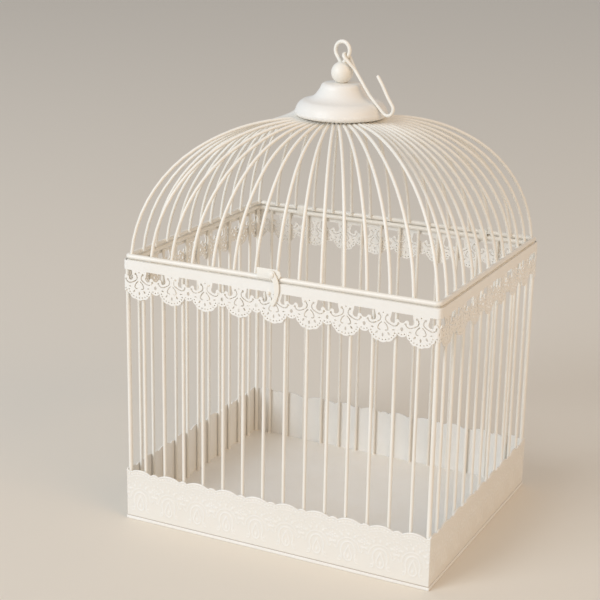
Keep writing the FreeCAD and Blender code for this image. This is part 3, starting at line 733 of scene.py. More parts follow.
def smooth_line(points: list[Point], steps: int = 6) -> tuple[Point, ...]:
    """A smooth line through points.

    Args:
        points: the points that it passes through.
        steps: straight pieces between two of them.

    Returns:
        The points of the line.
    """
    ends = [points[0], *points, points[-1]]
    line = [points[0]]
    for before, start, end, after in zip(ends, ends[1:], ends[2:], ends[3:]):
        for step in range(1, steps + 1):
            t = step / steps
            line.append(tuple(
                0.5 * (2 * s + (e - b) * t + (2 * b - 5 * s + 4 * e - a) * t ** 2
                       + (3 * s - b - 3 * e + a) * t ** 3)
                for b, s, e, a in zip(before, start, end, after)))
    return tuple(line)


def around_point(middle: Point, reach: float, angle: float) -> Point:
    """The point at a distance and an angle from another."""
    return middle[0] + reach * math.cos(angle), middle[1] + reach * math.sin(angle)


@dataclass(frozen=True)
class Stroke:
    """A raised line of the embossing."""

    line: tuple[Point, ...]
    half_width: float
    height: float

    def lift(self, u: float, v: float) -> float:
        """How far the line raises the sheet at a point.

        Args:
            u: the point's place along the sheet.
            v: its height on the sheet.

        Returns:
            The lift, as a share of the relief's depth.
        """
        reach = self.half_width
        nearest = reach
        for (au, av), (bu, bv) in zip(self.line, self.line[1:]):
            if (u < min(au, bu) - reach or u > max(au, bu) + reach
                    or v < min(av, bv) - reach or v > max(av, bv) + reach):
                continue
            run = (bu - au) ** 2 + (bv - av) ** 2
            along = ((u - au) * (bu - au) + (v - av) * (bv - av)) / run
            share = max(0.0, min(1.0, along))
            nearest = min(nearest, math.hypot(u - au - share * (bu - au), v - av - share * (bv - av)))
        return self.height * (1 - (nearest / reach) ** 2)


@dataclass(frozen=True)
class Petal:
    """A raised oval of the embossing."""

    middle: Point
    half_length: float
    half_width: float
    tilt: float
    height: float

    def lift(self, u: float, v: float) -> float:
        """How far the oval raises the sheet at a point.

        Args:
            u: the point's place along the sheet.
            v: its height on the sheet.

        Returns:
            The lift, as a share of the relief's depth.
        """
        du, dv = u - self.middle[0], v - self.middle[1]
        along = du * math.cos(self.tilt) + dv * math.sin(self.tilt)
        across = dv * math.cos(self.tilt) - du * math.sin(self.tilt)
        share = (along / self.half_length) ** 2 + (across / self.half_width) ** 2
        return self.height * max(0.0, 1 - share)


Motif = list[Union[Stroke, Petal]]


@dataclass
class EmbossedBase(SubAssembly):
    """The sheet-metal base: a shallow pan with a bead for a lip, and four embossed, scalloped skirts."""

    sheet: float = 0.8
    lip_width: float = 1.6
    lip_height: float = 3.0
    bead_radius: float = 0.7
    scallop_pitch: float = 30.0
    scallop_span: float = 22.0
    scallop_rise: float = 3.0
    bump_rise: float = 1.6
    long_units: int = 10
    short_units: int = 9
    columns: int = 30
    rows: int = 90
    relief_depth: float = 0.5
    seam_height: float = 0.9
    seam_depth: float = 0.45
    # Raised lines along the scalloped edge: distance below it, half width and height
    edge_lines: tuple[tuple[float, float, float], ...] = ((0.7, 0.75, 1.0), (5.6, 0.5, 0.5))
    # A row of dots between the two lines
    dot_drop: float = 3.4
    dot_pitch: float = 3.0
    dot_radius: float = 0.95
    dot_height: float = 0.9
    crease: float = 60.0

    def build(self) -> None:
        """Make the pan and the four skirts."""
        self.floor_pan()
        motif = self.motif()
        for side in Side:
            self.skirt(side, motif)

    def floor_pan(self) -> None:
        """A shallow pan whose lip is rounded into a bead."""
        low, high = node_box("floor_pan")
        shape = bmesh.new()
        bmesh.ops.create_cube(shape, size=1.0)
        bmesh.ops.scale(shape, vec=high - low, verts=shape.verts)
        bmesh.ops.translate(shape, vec=(low + high) / 2, verts=shape.verts)
        top = max(shape.faces, key=lambda face: face.calc_center_median().z)
        hair = 0.01
        for thickness, depth in ((self.lip_width, 0.0), (hair, self.sheet - self.lip_height)):
            bmesh.ops.inset_region(shape, faces=[top], thickness=thickness, depth=depth, use_even_offset=True)
        corner = high - Vector((0.1, 0.1, 0.0))

        def outside(edge: bmesh.types.BMEdge) -> bool:
            """Whether an edge runs from one outer corner of the pan to the next."""
            at_corners = all(abs(vert.co.x) > corner.x and abs(vert.co.y) > corner.y for vert in edge.verts)
            return at_corners and edge.calc_length() > 2 * self.lip_height

        soften(shape, self.bead_radius, 3, test=outside)
        self.shop.place("floor_pan_with_bead", shape, Body.CAGE, SHEET_PAINT, "floor_pan")

    def edge_height(self, u: float, valley: float) -> float:
        """Height of the scalloped edge.

        Args:
            u: distance from the middle of a scallop.
            valley: height of the edge between two scallops.

        Returns:
            The edge's height there.
        """
        half = self.scallop_span / 2
        if abs(u) <= half:
            across, rise = u, self.scallop_rise
        else:
            across, rise = abs(u) - self.scallop_pitch / 2, self.bump_rise
            half = (self.scallop_pitch - self.scallop_span) / 2
        radius = (half ** 2 + rise ** 2) / (2 * rise)
        return valley + rise - radius + math.sqrt(radius ** 2 - across ** 2)

    def motif(self) -> Motif:
        """The embossing of half a unit: u from the unit's middle, v up from the ground.

        Returns:
            Its raised lines and ovals.
        """
        bud = smooth_line([(0, 24.6), (1.1, 22.2), (2.9, 17.6), (3.5, 14.2), (2.2, 11.2), (0, 10.2)])
        curl = smooth_line([(8.6, 11.6), (8.2, 12.7), (7.0, 12.6), (6.5, 11.2), (7.4, 9.6), (9.2, 9.4)])
        arch = smooth_line([(6.5, 11.2), (6.0, 14.6), (6.9, 19.0), (5.8, 24.0), (3.2, 27.2), (0, 28.3)])
        outer = smooth_line([(13.4, 22.4), (12.0, 20.4), (10.4, 21.4), (10.2, 23.6), (8.4, 27.4), (4.6, 30.6),
                             (0, 31.8)])
        marks: Motif = [
            Stroke(bud, 0.8, 0.8),
            Petal((0, 14.6), 2.9, 1.35, math.pi / 2, 0.8),
            Stroke(curl, 0.7, 0.6),
            Stroke(arch, 0.8, 0.75),
            Stroke(outer, 0.65, 0.6),
        ]
        fan, fan_reach = (0.0, 20.5), 14.6
        for degrees in (90, 66, 43, 21):
            angle = math.radians(degrees)
            marks.append(Petal(around_point(fan, fan_reach, angle), 2.3, 1.25, angle, 0.8))
        flower, petals, petal_reach = (15.0, 31.6), 6, 2.5
        marks.append(Petal(flower, 1.1, 1.1, 0.0, 1.0))
        for number in range(petals):
            angle = math.radians((number + 0.5) * 360 / petals)
            marks.append(Petal(around_point(flower, petal_reach, angle), 1.35, 0.95, angle, 0.8))
        leaves = ((2.4, 38.6, 60), (5.6, 37.4, 130), (8.3, 35.4, 40), (11.4, 36.8, 100), (9.6, 31.0, 150),
                  (12.4, 26.6, 60), (14.4, 37.6, 70), (6.6, 33.6, 20), (11.6, 40.2, 10), (4.2, 41.2, 160))
        for u, v, degrees in leaves:
            marks.append(Petal((u, v), 1.25, 0.7, math.radians(degrees), 0.7))
        return marks

    def skirt_tile(self, foot: float, valley: float, motif: Motif) -> Shape:
        """One embossed unit of a skirt, seen flat: x along it, z up, relief towards -y.

        Args:
            foot: height of its lower edge.
            valley: height of its upper edge between two scallops.
            motif: the embossing of half a unit.

        Returns:
            The unit's outer skin, with its relief kept as an attribute.
        """
        shape = bmesh.new()
        bmesh.ops.create_grid(shape, x_segments=self.columns, y_segments=self.rows, size=1.0)
        relief = shape.verts.layers.float.new(RELIEF)
        half = self.scallop_pitch / 2
        marks = list(motif)
        for number in range(int(half / self.dot_pitch) + 1):
            u = number * self.dot_pitch
            middle = (u, self.edge_height(u, valley) - self.dot_drop)
            marks.append(Petal(middle, self.dot_radius, self.dot_radius, 0.0, self.dot_height))
        for vert in shape.verts:
            u = (vert.co.x + 1) / 2 * half
            edge = self.edge_height(u, valley)
            v = foot + (vert.co.y + 1) / 2 * (edge - foot)
            lift = max(mark.lift(u, v) for mark in marks)
            for drop, half_width, height in self.edge_lines:
                lift = max(lift, height * (1 - ((edge - v - drop) / half_width) ** 2))
            seam = max(0.0, 1 - (v - foot) / self.seam_height)
            lift = max(0.0, lift) * (1 - seam)
            # The relief attribute also steers the painted shade of the hollows and the seam
            vert[relief] = lift - seam
            vert.co = (u, self.seam_depth * seam ** 2 - lift * self.relief_depth, v)
        bmesh.ops.mirror(shape, geom=everything(shape), axis="X", merge_dist=NEAR)
        return shape

    def skirt_row(self, tile: Shape, units: int, length: float) -> None:
        """Repeat a unit side by side and trim the row to length.

        Args:
            tile: the unit's skin, which becomes the whole row's.
            units: how many units the row has.
            length: the row's length.
        """
        whole = everything(tile)
        first = (1 - units) / 2 * self.scallop_pitch
        bmesh.ops.translate(tile, verts=tile.verts, vec=RIGHTWARDS * first)
        for unit in range(1, units):
            copy = verts_of(bmesh.ops.duplicate(tile, geom=whole)["geom"])
            bmesh.ops.translate(tile, verts=copy, vec=RIGHTWARDS * (unit * self.scallop_pitch))
        bmesh.ops.remove_doubles(tile, verts=tile.verts, dist=NEAR)
        for outwards in (LEFTWARDS, RIGHTWARDS):
            cut_away(tile, outwards * (length / 2), outwards)
        bmesh.ops.recalc_face_normals(tile, faces=tile.faces)

    def skirt(self, side: Side, motif: Motif) -> None:
        """One skirt: an embossed row with the sheet's thickness behind it.

        Args:
            side: the side of the cage.
            motif: the embossing of half a unit.
        """
        node = f"skirt_{side.word}"
        low, high = node_box(node)
        across = 1 - side.axis
        reach = max(-low[across], high[across])
        shape = self.skirt_tile(low.z, high.z - self.scallop_rise, motif)
        self.skirt_row(shape, self.long_units if side.long else self.short_units, (high - low)[side.axis])
        rim = [edge for edge in shape.edges if edge.is_boundary]
        back = verts_of(bmesh.ops.extrude_edge_only(shape, edges=rim)["geom"])
        relief = shape.verts.layers.float[RELIEF]
        # The back face is marked as raised so that it gets none of the painted shade
        for vert in back:
            vert.co.y = self.sheet
            vert[relief] = 1.0
        bmesh.ops.edgeloop_fill(shape, edges=ring_edges(back))
        bmesh.ops.recalc_face_normals(shape, faces=shape.faces)
        bmesh.ops.translate(shape, verts=shape.verts, vec=FRONTWARDS * reach)
        bmesh.ops.transform(shape, matrix=side.turn(), verts=shape.verts)
        self.shop.place(f"embossed_{node}", shape, Body.CAGE, EMBOSSED_PAINT, node, self.crease)


@dataclass
class BentRing(SubAssembly):
    """A round wire bent into a rounded rectangle, with its butt weld in the middle of the back."""

    node: str
    body: Body
    corner: float = 3.0
    corner_steps: int = 8
    weld_swell: float = 1.06
    weld_length: float = 1.2
    around: int = 16

    def build(self) -> None:
        """Draw the wire from its weld all the way round."""
        low, high = node_box(self.node)
        radius = (high - low).z / 2
        half_x, half_y = high.x - radius, high.y - radius
        shape = bmesh.new()
        start = Vector((0.0, half_y, low.z + radius))
        wire = WireRun(shape, start, LEFTWARDS, radius * self.weld_swell, self.around)
        wire.neck(self.weld_length, 1 / self.weld_swell)
        half_run = half_x - self.corner - self.weld_length
        side_run, front_run = 2 * (half_y - self.corner), 2 * (half_x - self.corner)
        for run in (half_run, side_run, front_run, side_run):
            wire.straight(run).bend(UP, 90, self.corner, self.corner_steps)
        wire.straight(half_run).neck(self.weld_length, self.weld_swell)
        tidy(shape)
        self.shop.place(f"{self.node}_wire", shape, self.body, WIRE_PAINT, self.node)


@dataclass
class UprightWires(SubAssembly):
    """The corner posts, the rows of upright bars and the frame ring that they carry."""

    front_bars: int = 14
    side_bars: int = 11
    bar_around: int = 12
    post_around: int = 16
    weld: Weld = Weld(swell=1.4, shoulder=1.12, length=1.8)
    stray: float = 0.25
    seed: int = 11

    def build(self) -> None:
        """Make the bars, the posts and the top frame."""
        chance = random.Random(self.seed)
        for side in Side:
            self.bar_row(side, chance)
        self.posts()
        BentRing(self.shop, "top_frame", Body.CAGE).build()

    def upright(self, shape: Shape, foot: Vector, head: Vector, radius: float, around: int) -> None:
        """One upright wire that widens into its welds at both ends.

        Args:
            shape: the mesh to draw in.
            foot: the middle of its lower end.
            head: the middle of its upper end.
            radius: its radius.
            around: faces round it.
        """
        wire = WireRun(shape, foot, head - foot, radius * self.weld.swell, around)
        self.weld.leave(wire.cap_start())
        wire.straight((head - foot).length - 2 * self.weld.length)
        self.weld.enter(wire).cap()

    def bar_row(self, side: Side, chance: random.Random) -> None:
        """The bars of one side, each a little off its place.

        Args:
            side: the side of the cage.
            chance: where the bars' small errors come from.
        """
        node = f"bars_{side.word}"
        low, high = node_box(node)
        count = self.front_bars if side.long else self.side_bars
        axis = side.axis
        radius = (high - low)[1 - axis] / 2
        first, last = low[axis] + radius, high[axis] - radius
        middle = (low + high) / 2
        shape = bmesh.new()
        for index in range(count):
            foot, head = middle.copy(), middle.copy()
            along = first + (last - first) * index / (count - 1)
            foot[axis] = along + chance.uniform(-self.stray, self.stray)
            head[axis] = along + chance.uniform(-self.stray, self.stray)
            foot.z, head.z = low.z, high.z
            self.upright(shape, foot, head, radius, self.bar_around)
        tidy(shape)
        self.shop.place(f"upright_{node}", shape, Body.CAGE, WIRE_PAINT, node)

    def posts(self) -> None:
        """The four corner posts."""
        for depth in ("front", "back"):
            for hand in ("left", "right"):
                node = f"post_{depth}_{hand}"
                low, high = node_box(node)
                middle = (low + high) / 2
                foot, head = Vector((middle.x, middle.y, low.z)), Vector((middle.x, middle.y, high.z))
                shape = bmesh.new()
                self.upright(shape, foot, head, (high - low).x / 2, self.post_around)
                tidy(shape)
                self.shop.place(f"corner_{node}", shape, Body.CAGE, WIRE_PAINT, node)


@dataclass
class LaceBand(SubAssembly):
    """The pierced band below the frame: four pierced panels that meet in rounded corners."""

    unit: float = 33.29
    corner_radius: float = 3.5
    corner_cuts: int = 5
    merge_gap: float = 0.0005
    flat_within: float = 7.0
    crease: float = 30.0

    def build(self, nodes: dict[str, bpy.types.Object]) -> None:
        """Make the four panels.

        Args:
            nodes: the frame's CAD objects by name.
        """
        low, high = node_box("lace_front")
        reach = Vector((high.x, -low.y, 0.0))
        for side in Side:
            self.panel(side, nodes[f"lace_{side.word}"].data, reach)

    def panel(self, side: Side, pierced: bpy.types.Mesh, reach: Vector) -> None:
        """One panel, from a copy of the pierced CAD panel.

        Args:
            side: the side of the cage.
            pierced: the CAD panel's mesh.
            reach: how far the band's outer faces are from the middle.
        """
        panel = bmesh.new()
        panel.from_mesh(pierced)
        bmesh.ops.scale(panel, vec=(1 / MM, 1 / MM, 1 / MM), verts=panel.verts)
        bmesh.ops.remove_doubles(panel, verts=panel.verts, dist=self.merge_gap)
        self.mark_units(panel, side.axis, reach)
        bmesh.ops.dissolve_limit(panel, angle_limit=math.radians(self.flat_within),
                                 use_dissolve_boundaries=False, verts=panel.verts, edges=panel.edges,
                                 delimit={"NORMAL", "SEAM"})
        self.cut_corners(panel, side.axis, reach)
        self.round_corners(panel, reach)
        node = f"lace_{side.word}"
        self.shop.place(f"pierced_{node}", panel, Body.CAGE, SHEET_PAINT, node, self.crease)

    def cut(self, panel: Shape, axis: int, place: float,
            faces: Iterable[bmesh.types.BMFace]) -> list[bmesh.types.BMEdge]:
        """Divide faces of a panel with a plane across an axis.

        Args:
            panel: the panel's mesh.
            axis: the axis that runs along the panel.
            place: where the plane crosses it.
            faces: the faces to divide.

        Returns:
            The edges along the cut.
        """
        through, normal = Vector(), Vector()
        through[axis], normal[axis] = place, 1.0
        faces = dict.fromkeys(faces)
        edges = dict.fromkeys(edge for face in faces for edge in face.edges)
        verts = dict.fromkeys(vert for face in faces for vert in face.verts)
        made = bmesh.ops.bisect_plane(panel, geom=[*verts, *edges, *faces], dist=ON_PLANE, plane_co=through,
                                      plane_no=normal)
        return edges_of(made["geom_cut"])

    def mark_units(self, panel: Shape, axis: int, reach: Vector) -> None:
        """Divide a panel at the ends of its units, so that later steps work on small faces.

        Args:
            panel: the panel's mesh.
            axis: the axis that runs along the panel.
            reach: how far the band's outer faces are from the middle.
        """
        count = int(reach[axis] / self.unit)
        for unit in range(-count, count + 1):
            for edge in self.cut(panel, axis, unit * self.unit, panel.faces):
                edge.seam = True

    def cut_corners(self, panel: Shape, axis: int, reach: Vector) -> None:
        """Divide a panel near its two ends so that they can bend.

        Args:
            panel: the panel's mesh.
            axis: the axis that runs along the panel.
            reach: how far the band's outer faces are from the middle.
        """
        near = reach[axis] - 2 * self.corner_radius
        for end in (-1.0, 1.0):
            for number in range(1, self.corner_cuts + 2):
                place = end * (reach[axis] - self.corner_radius * number / self.corner_cuts)
                at_end = [vert for vert in panel.verts if end * vert.co[axis] > near]
                self.cut(panel, axis, place, (face for vert in at_end for face in vert.link_faces))

    def round_corners(self, panel: Shape, reach: Vector) -> None:
        """Draw a panel's square ends in to round ones.

        Args:
            panel: the panel's mesh.
            reach: how far the band's outer faces are from the middle.
        """
        for vert in panel.verts:
            off = [abs(vert.co[axis]) - (reach[axis] - self.corner_radius) for axis in (0, 1)]
            if min(off) <= 0:
                continue
            share = max(off) / math.hypot(*off)
            for axis in (0, 1):
                middle = reach[axis] - self.corner_radius
                vert.co[axis] = math.copysign(middle + off[axis] * share, vert.co[axis])


@dataclass
class HingeStraps(SubAssembly):
    """Two closed sheet straps round the frame wire and the lid rim at the back."""

    sheet: float = 0.8
    around: int = 40
    edge: float = 0.2

    def build(self) -> None:
        """Make both straps."""
        for hand in ("left", "right"):
            self.strap(hand)

    def strap(self, hand: str) -> None:
        """One strap.

        Args:
            hand: the side that it is on, left or right.
        """
        node = f"hinge_strap_{hand}"
        low, high = node_box(node)
        outer = (high - low).y / 2
        middle = Vector((low.x, (low + high).y / 2, low.z + outer))
        stand = Matrix.Translation(middle) @ Matrix.Rotation(math.pi / 2, 4, "Y")
        shape = bmesh.new()
        loops = []
        for radius in (outer, outer - self.sheet):
            ring = bmesh.ops.create_circle(shape, cap_ends=False, segments=self.around, radius=radius,
                                           matrix=stand)["verts"]
            upper = [vert for vert in ring if vert.co.z > middle.z + NEAR]
            bmesh.ops.translate(shape, verts=upper, vec=UP * ((high - low).z - 2 * outer))
            loops += ring_edges(ring)
        end = bmesh.ops.bridge_loops(shape, edges=loops)["faces"]
        draw_out(shape, end, RIGHTWARDS * (high - low).x)
        tidy(shape)
        soften(shape, self.edge, 2, 60.0)
        self.shop.place(f"strap_{hand}_crimped", shape, Body.CAGE, FITTING_PAINT, node)


@dataclass
class DomeLid(SubAssembly):
    """The lid: a rim wire, the dome wires that gather under the crown, and the crown's disc and nut."""

    half_front: int = 7
    half_side: int = 6
    foot_inset: float = 2.5
    foot_drop: float = 0.3
    foot_lean: float = 5.7
    wire_radius: float = 1.5
    wire_around: int = 10
    lower_steps: int = 9
    upper_steps: int = 12
    weld: Weld = Weld(swell=1.45, shoulder=1.15, length=2.0)
    gather_radius: float = 30.0
    crown_height: float = 369.0
    # The wires' slope at the crown, for the shortest and the longest run over the floor plan
    tip_slope_short: float = 5.7
    tip_slope_long: float = -5.7
    run_short: float = 91.0
    run_long: float = 159.0
    balance: float = 1.1
    bore: float = 1.95
    disc_edge: float = 0.35
    washer_edge: float = 0.2
    nut_edge: float = 0.3

    def build(self) -> None:
        """Make the rim, the dome wires and the crown."""
        BentRing(self.shop, "lid_rim", Body.LID).build()
        groups: dict[str, Shape] = {}
        for group, number, foot in self.feet():
            if group not in groups:
                groups[group] = bmesh.new()
            self.dome_wire(groups[group], number, foot)
        for group, shape in groups.items():
            tidy(shape)
            self.shop.place(f"domed_wires_{group}", shape, Body.LID, WIRE_PAINT, f"dome_wires_{group}")
        self.disc()
        self.washer()
        self.nut()

    def feet(self) -> list[tuple[str, int, Vector]]:
        """Where the dome wires stand on the rim.

        Returns:
            Each wire's group, its number round the crown from the front middle, and its foot.
        """
        low, high = node_box("lid_rim")
        inset = (high - low).z / 2 + self.foot_inset
        half_x, half_y = high.x - inset, high.y - inset
        height = (low + high).z / 2 - self.foot_drop
        front, side = self.half_front, self.half_side
        quarter = front + side
        feet = []
        for k in range(1 - front, front):
            x = k * half_x / front
            feet.append(("front", k, Vector((x, -half_y, height))))
            feet.append(("back", 2 * quarter - k, Vector((x, half_y, height))))
        for k in range(1 - side, side):
            y = k * half_y / side
            feet.append(("right", quarter + k, Vector((half_x, y, height))))
            feet.append(("left", 3 * quarter - k, Vector((-half_x, y, height))))
        corners = ((front, 1, -1), (front + 2 * side, 1, 1), (3 * front + 2 * side, -1, 1),
                   (3 * front + 4 * side, -1, -1))
        for number, across, depth in corners:
            feet.append(("corner", number, Vector((across * half_x, depth * half_y, height))))
        return feet

    def dome_wire(self, shape: Shape, number: int, foot: Vector) -> None:
        """One dome wire: two smooth bends from the rim to the crown.

        Args:
            shape: the mesh to draw in.
            number: its number round the crown.
            foot: its foot on the rim.
        """
        angle = math.tau * number / (4 * (self.half_front + self.half_side)) - math.pi / 2
        tip = Vector((self.gather_radius * math.cos(angle), self.gather_radius * math.sin(angle),
                      self.crown_height))
        inward = Vector((tip.x - foot.x, tip.y - foot.y, 0.0))
        share = (inward.length - self.run_short) / (self.run_long - self.run_short)
        slope = math.radians(self.tip_slope_short + share * (self.tip_slope_long - self.tip_slope_short))
        lean = math.radians(self.foot_lean)
        inward.normalize()
        up = inward * math.sin(lean) + UP * math.cos(lean)
        level = inward * math.cos(slope) + UP * math.sin(slope)
        joint = self.joint(foot, up, tip, level)
        wire = WireRun(shape, foot, up, self.wire_radius * self.weld.swell, self.wire_around)
        self.weld.leave(wire.cap_start())
        wire.arc_to(joint, self.lower_steps).arc_to(tip, self.upper_steps).cap()

    def joint(self, start: Vector, up: Vector, end: Vector, level: Vector) -> Vector:
        """The point where a dome wire's two bends meet.

        Args:
            start: the wire's foot.
            up: its direction there.
            end: its tip.
            level: its direction there.

        Returns:
            The point between the bends.
        """
        span = end - start
        q = self.balance
        a = q ** 2 + 1 + 2 * q * up.dot(level) - (1 + q) ** 2
        b = -2 * (q * span.dot(up) + span.dot(level))
        reach = (-b - math.sqrt(b * b - 4 * a * span.dot(span))) / (2 * a)
        return (start + up * (q * reach) + (end - level * reach) * q) / (1 + q)

    def disc(self) -> None:
        """The disc over the wires' tips, with soft edges."""
        low, high = node_box("crown_disc")
        edge = self.disc_edge
        profile = [(self.bore, low.z), (high.x - edge, low.z), (high.x, low.z + edge),
                   (high.x, high.z - edge), (high.x - edge, high.z), (self.bore, high.z)]
        shape = turned(profile, 72, closed=True)
        self.shop.place("gathering_disc", shape, Body.LID, FITTING_PAINT, "crown_disc")

    def washer(self) -> None:
        """The washer under the disc, with a soft lower edge."""
        low, high = node_box("crown_washer")
        edge = self.washer_edge
        profile = [(self.bore, low.z), (high.x - edge, low.z), (high.x, low.z + edge), (high.x, high.z),
                   (self.bore, high.z)]
        shape = turned(profile, 40, closed=True)
        self.shop.place("clamping_washer", shape, Body.LID, FITTING_PAINT, "crown_washer")

    def nut(self) -> None:
        """The six-sided nut under the washer."""
        low, high = node_box("crown_nut")
        shape = bmesh.new()
        corner_to_x = Matrix.Rotation(math.pi / 2, 4, "Z")
        begin = Matrix.Translation((0.0, 0.0, low.z)) @ corner_to_x
        bmesh.ops.create_circle(shape, cap_ends=True, segments=6, radius=high.x, matrix=begin)
        draw_out(shape, list(shape.faces), UP * (high - low).z)
        tidy(shape)
        soften(shape, self.nut_edge, 2)
        self.shop.place("clamping_nut", shape, Body.LID, FITTING_PAINT, "crown_nut")


@dataclass
class Finial(SubAssembly):
    """The finial over the crown: a spun cap, a ball and an eye bolt."""

    # From foot to top: radius, height, and the radius of the arc to the next point, below 0 if hollow
    cap_profile: tuple[tuple[float, float, float], ...] = (
        (37.0, 371.5, 3.2), (40.5, 376.6, 11.9), (26.7, 386.0, -40.0), (18.6, 396.6, 4.3), (14.9, 400.3, 0.0))
    cap_wall: float = 0.8
    outer_steps: int = 10
    inner_steps: int = 6
    shoulder_reach: int = 4
    bolt_radius: float = 1.9
    bolt_slack: float = 0.05
    foot_share: float = 0.8
    foot_length: float = 0.5
    thread_turns: int = 6
    thread_pitch: float = 0.8
    thread_share: float = 0.9
    ball_radius: float = 9.65
    ball_seat: float = 9.0
    ball_gap: float = 0.02
    eye_radius: float = 7.5
    eye_wire: float = 1.73
    eye_drop: float = 13.0
    eye_turn: float = -10.0
    eye_height: float = 428.75

    def build(self) -> None:
        """Make the cap, the ball and the eye bolt."""
        self.cap()
        self.ball()
        self.eye_bolt()

    def cap_line(self, wall: float, steps: int) -> list[Point]:
        """The cap's outline from foot to top, drawn in by a wall.

        Args:
            wall: how far inside the outer face it runs.
            steps: straight pieces in each arc.

        Returns:
            Points as radius and height.
        """
        drops = (0.0, 0.0, wall, wall, wall)
        points = [(radius - wall, height - drop)
                  for (radius, height, _), drop in zip(self.cap_profile, drops)]
        line = [points[0]]
        for start, end, (_, _, bulge) in zip(points, points[1:], self.cap_profile):
            run, rise = end[0] - start[0], end[1] - start[1]
            chord = math.hypot(run, rise)
            bow = math.copysign(abs(bulge) - math.sqrt(max(bulge ** 2 - chord ** 2 / 4, 0.0)), bulge)
            middle = ((start[0] + end[0]) / 2 + rise / chord * bow,
                      (start[1] + end[1]) / 2 - run / chord * bow)
            line += arc_points(start, middle, end, steps)
        return line

    def cap(self) -> None:
        """The spun cap, soft where its neck meets its brim, with a bore for the bolt."""
        shoulder = 2 * self.outer_steps
        outer = soft_corner(self.cap_line(0.0, self.outer_steps), shoulder, self.shoulder_reach)
        inner = self.cap_line(self.cap_wall, self.inner_steps)
        bore = self.bolt_radius + self.bolt_slack
        profile = [*outer, (bore, outer[-1][1]), (bore, inner[-1][1]), *reversed(inner)]
        shape = turned(profile, 96, closed=True)
        self.shop.place("spun_cap", shape, Body.LID, SHEET_PAINT, "finial_cap")

    def ball(self) -> None:
        """The ball, flat where it sits on the cap."""
        low, _ = node_box("finial_ball")
        shape = bmesh.new()
        centre = Matrix.Translation((0.0, 0.0, low.z + self.ball_seat))
        bmesh.ops.create_uvsphere(shape, u_segments=56, v_segments=36, radius=self.ball_radius, matrix=centre)
        seat = cut_away(shape, UP * (low.z + self.ball_gap), -UP)
        bmesh.ops.edgeloop_fill(shape, edges=seat)
        tidy(shape)
        self.shop.place("turned_ball", shape, Body.LID, FITTING_PAINT, "finial_ball", 50.0)

    def eye_bolt(self) -> None:
        """A drop-shaped eye over the ball, and the bolt's rod below it with a few turns of thread."""
        low, _ = node_box("eye_bolt")
        shape = bmesh.new()
        spread = math.acos(self.eye_radius / self.eye_drop)
        limb = math.sqrt(self.eye_drop ** 2 - self.eye_radius ** 2)
        apex = Vector((0.0, 0.0, self.eye_height - self.eye_drop))
        out = Vector((math.cos(spread), 0.0, math.sin(spread)))
        eye = WireRun(shape, apex, out, self.eye_wire, 16)
        eye.cap_start().straight(limb)
        eye.bend(FRONTWARDS, 360 - 2 * math.degrees(spread), self.eye_radius, 30).straight(limb).cap()
        turn = Matrix.Rotation(math.radians(self.eye_turn), 4, "Z")
        bmesh.ops.transform(shape, matrix=turn, verts=shape.verts)
        rod = WireRun(shape, Vector((0.0, 0.0, low.z)), UP, self.bolt_radius * self.foot_share, 16)
        rod.cap_start().neck(self.foot_length, 1 / self.foot_share)
        half_turn = self.thread_pitch / 2
        for _ in range(self.thread_turns):
            rod.neck(half_turn, self.thread_share).neck(half_turn, 1 / self.thread_share)
        rod.straight(apex.z + self.eye_wire - rod.here.z).cap()
        tidy(shape)
        self.shop.place("eye_bolt_bent", shape, Body.LID, FITTING_PAINT, "eye_bolt")


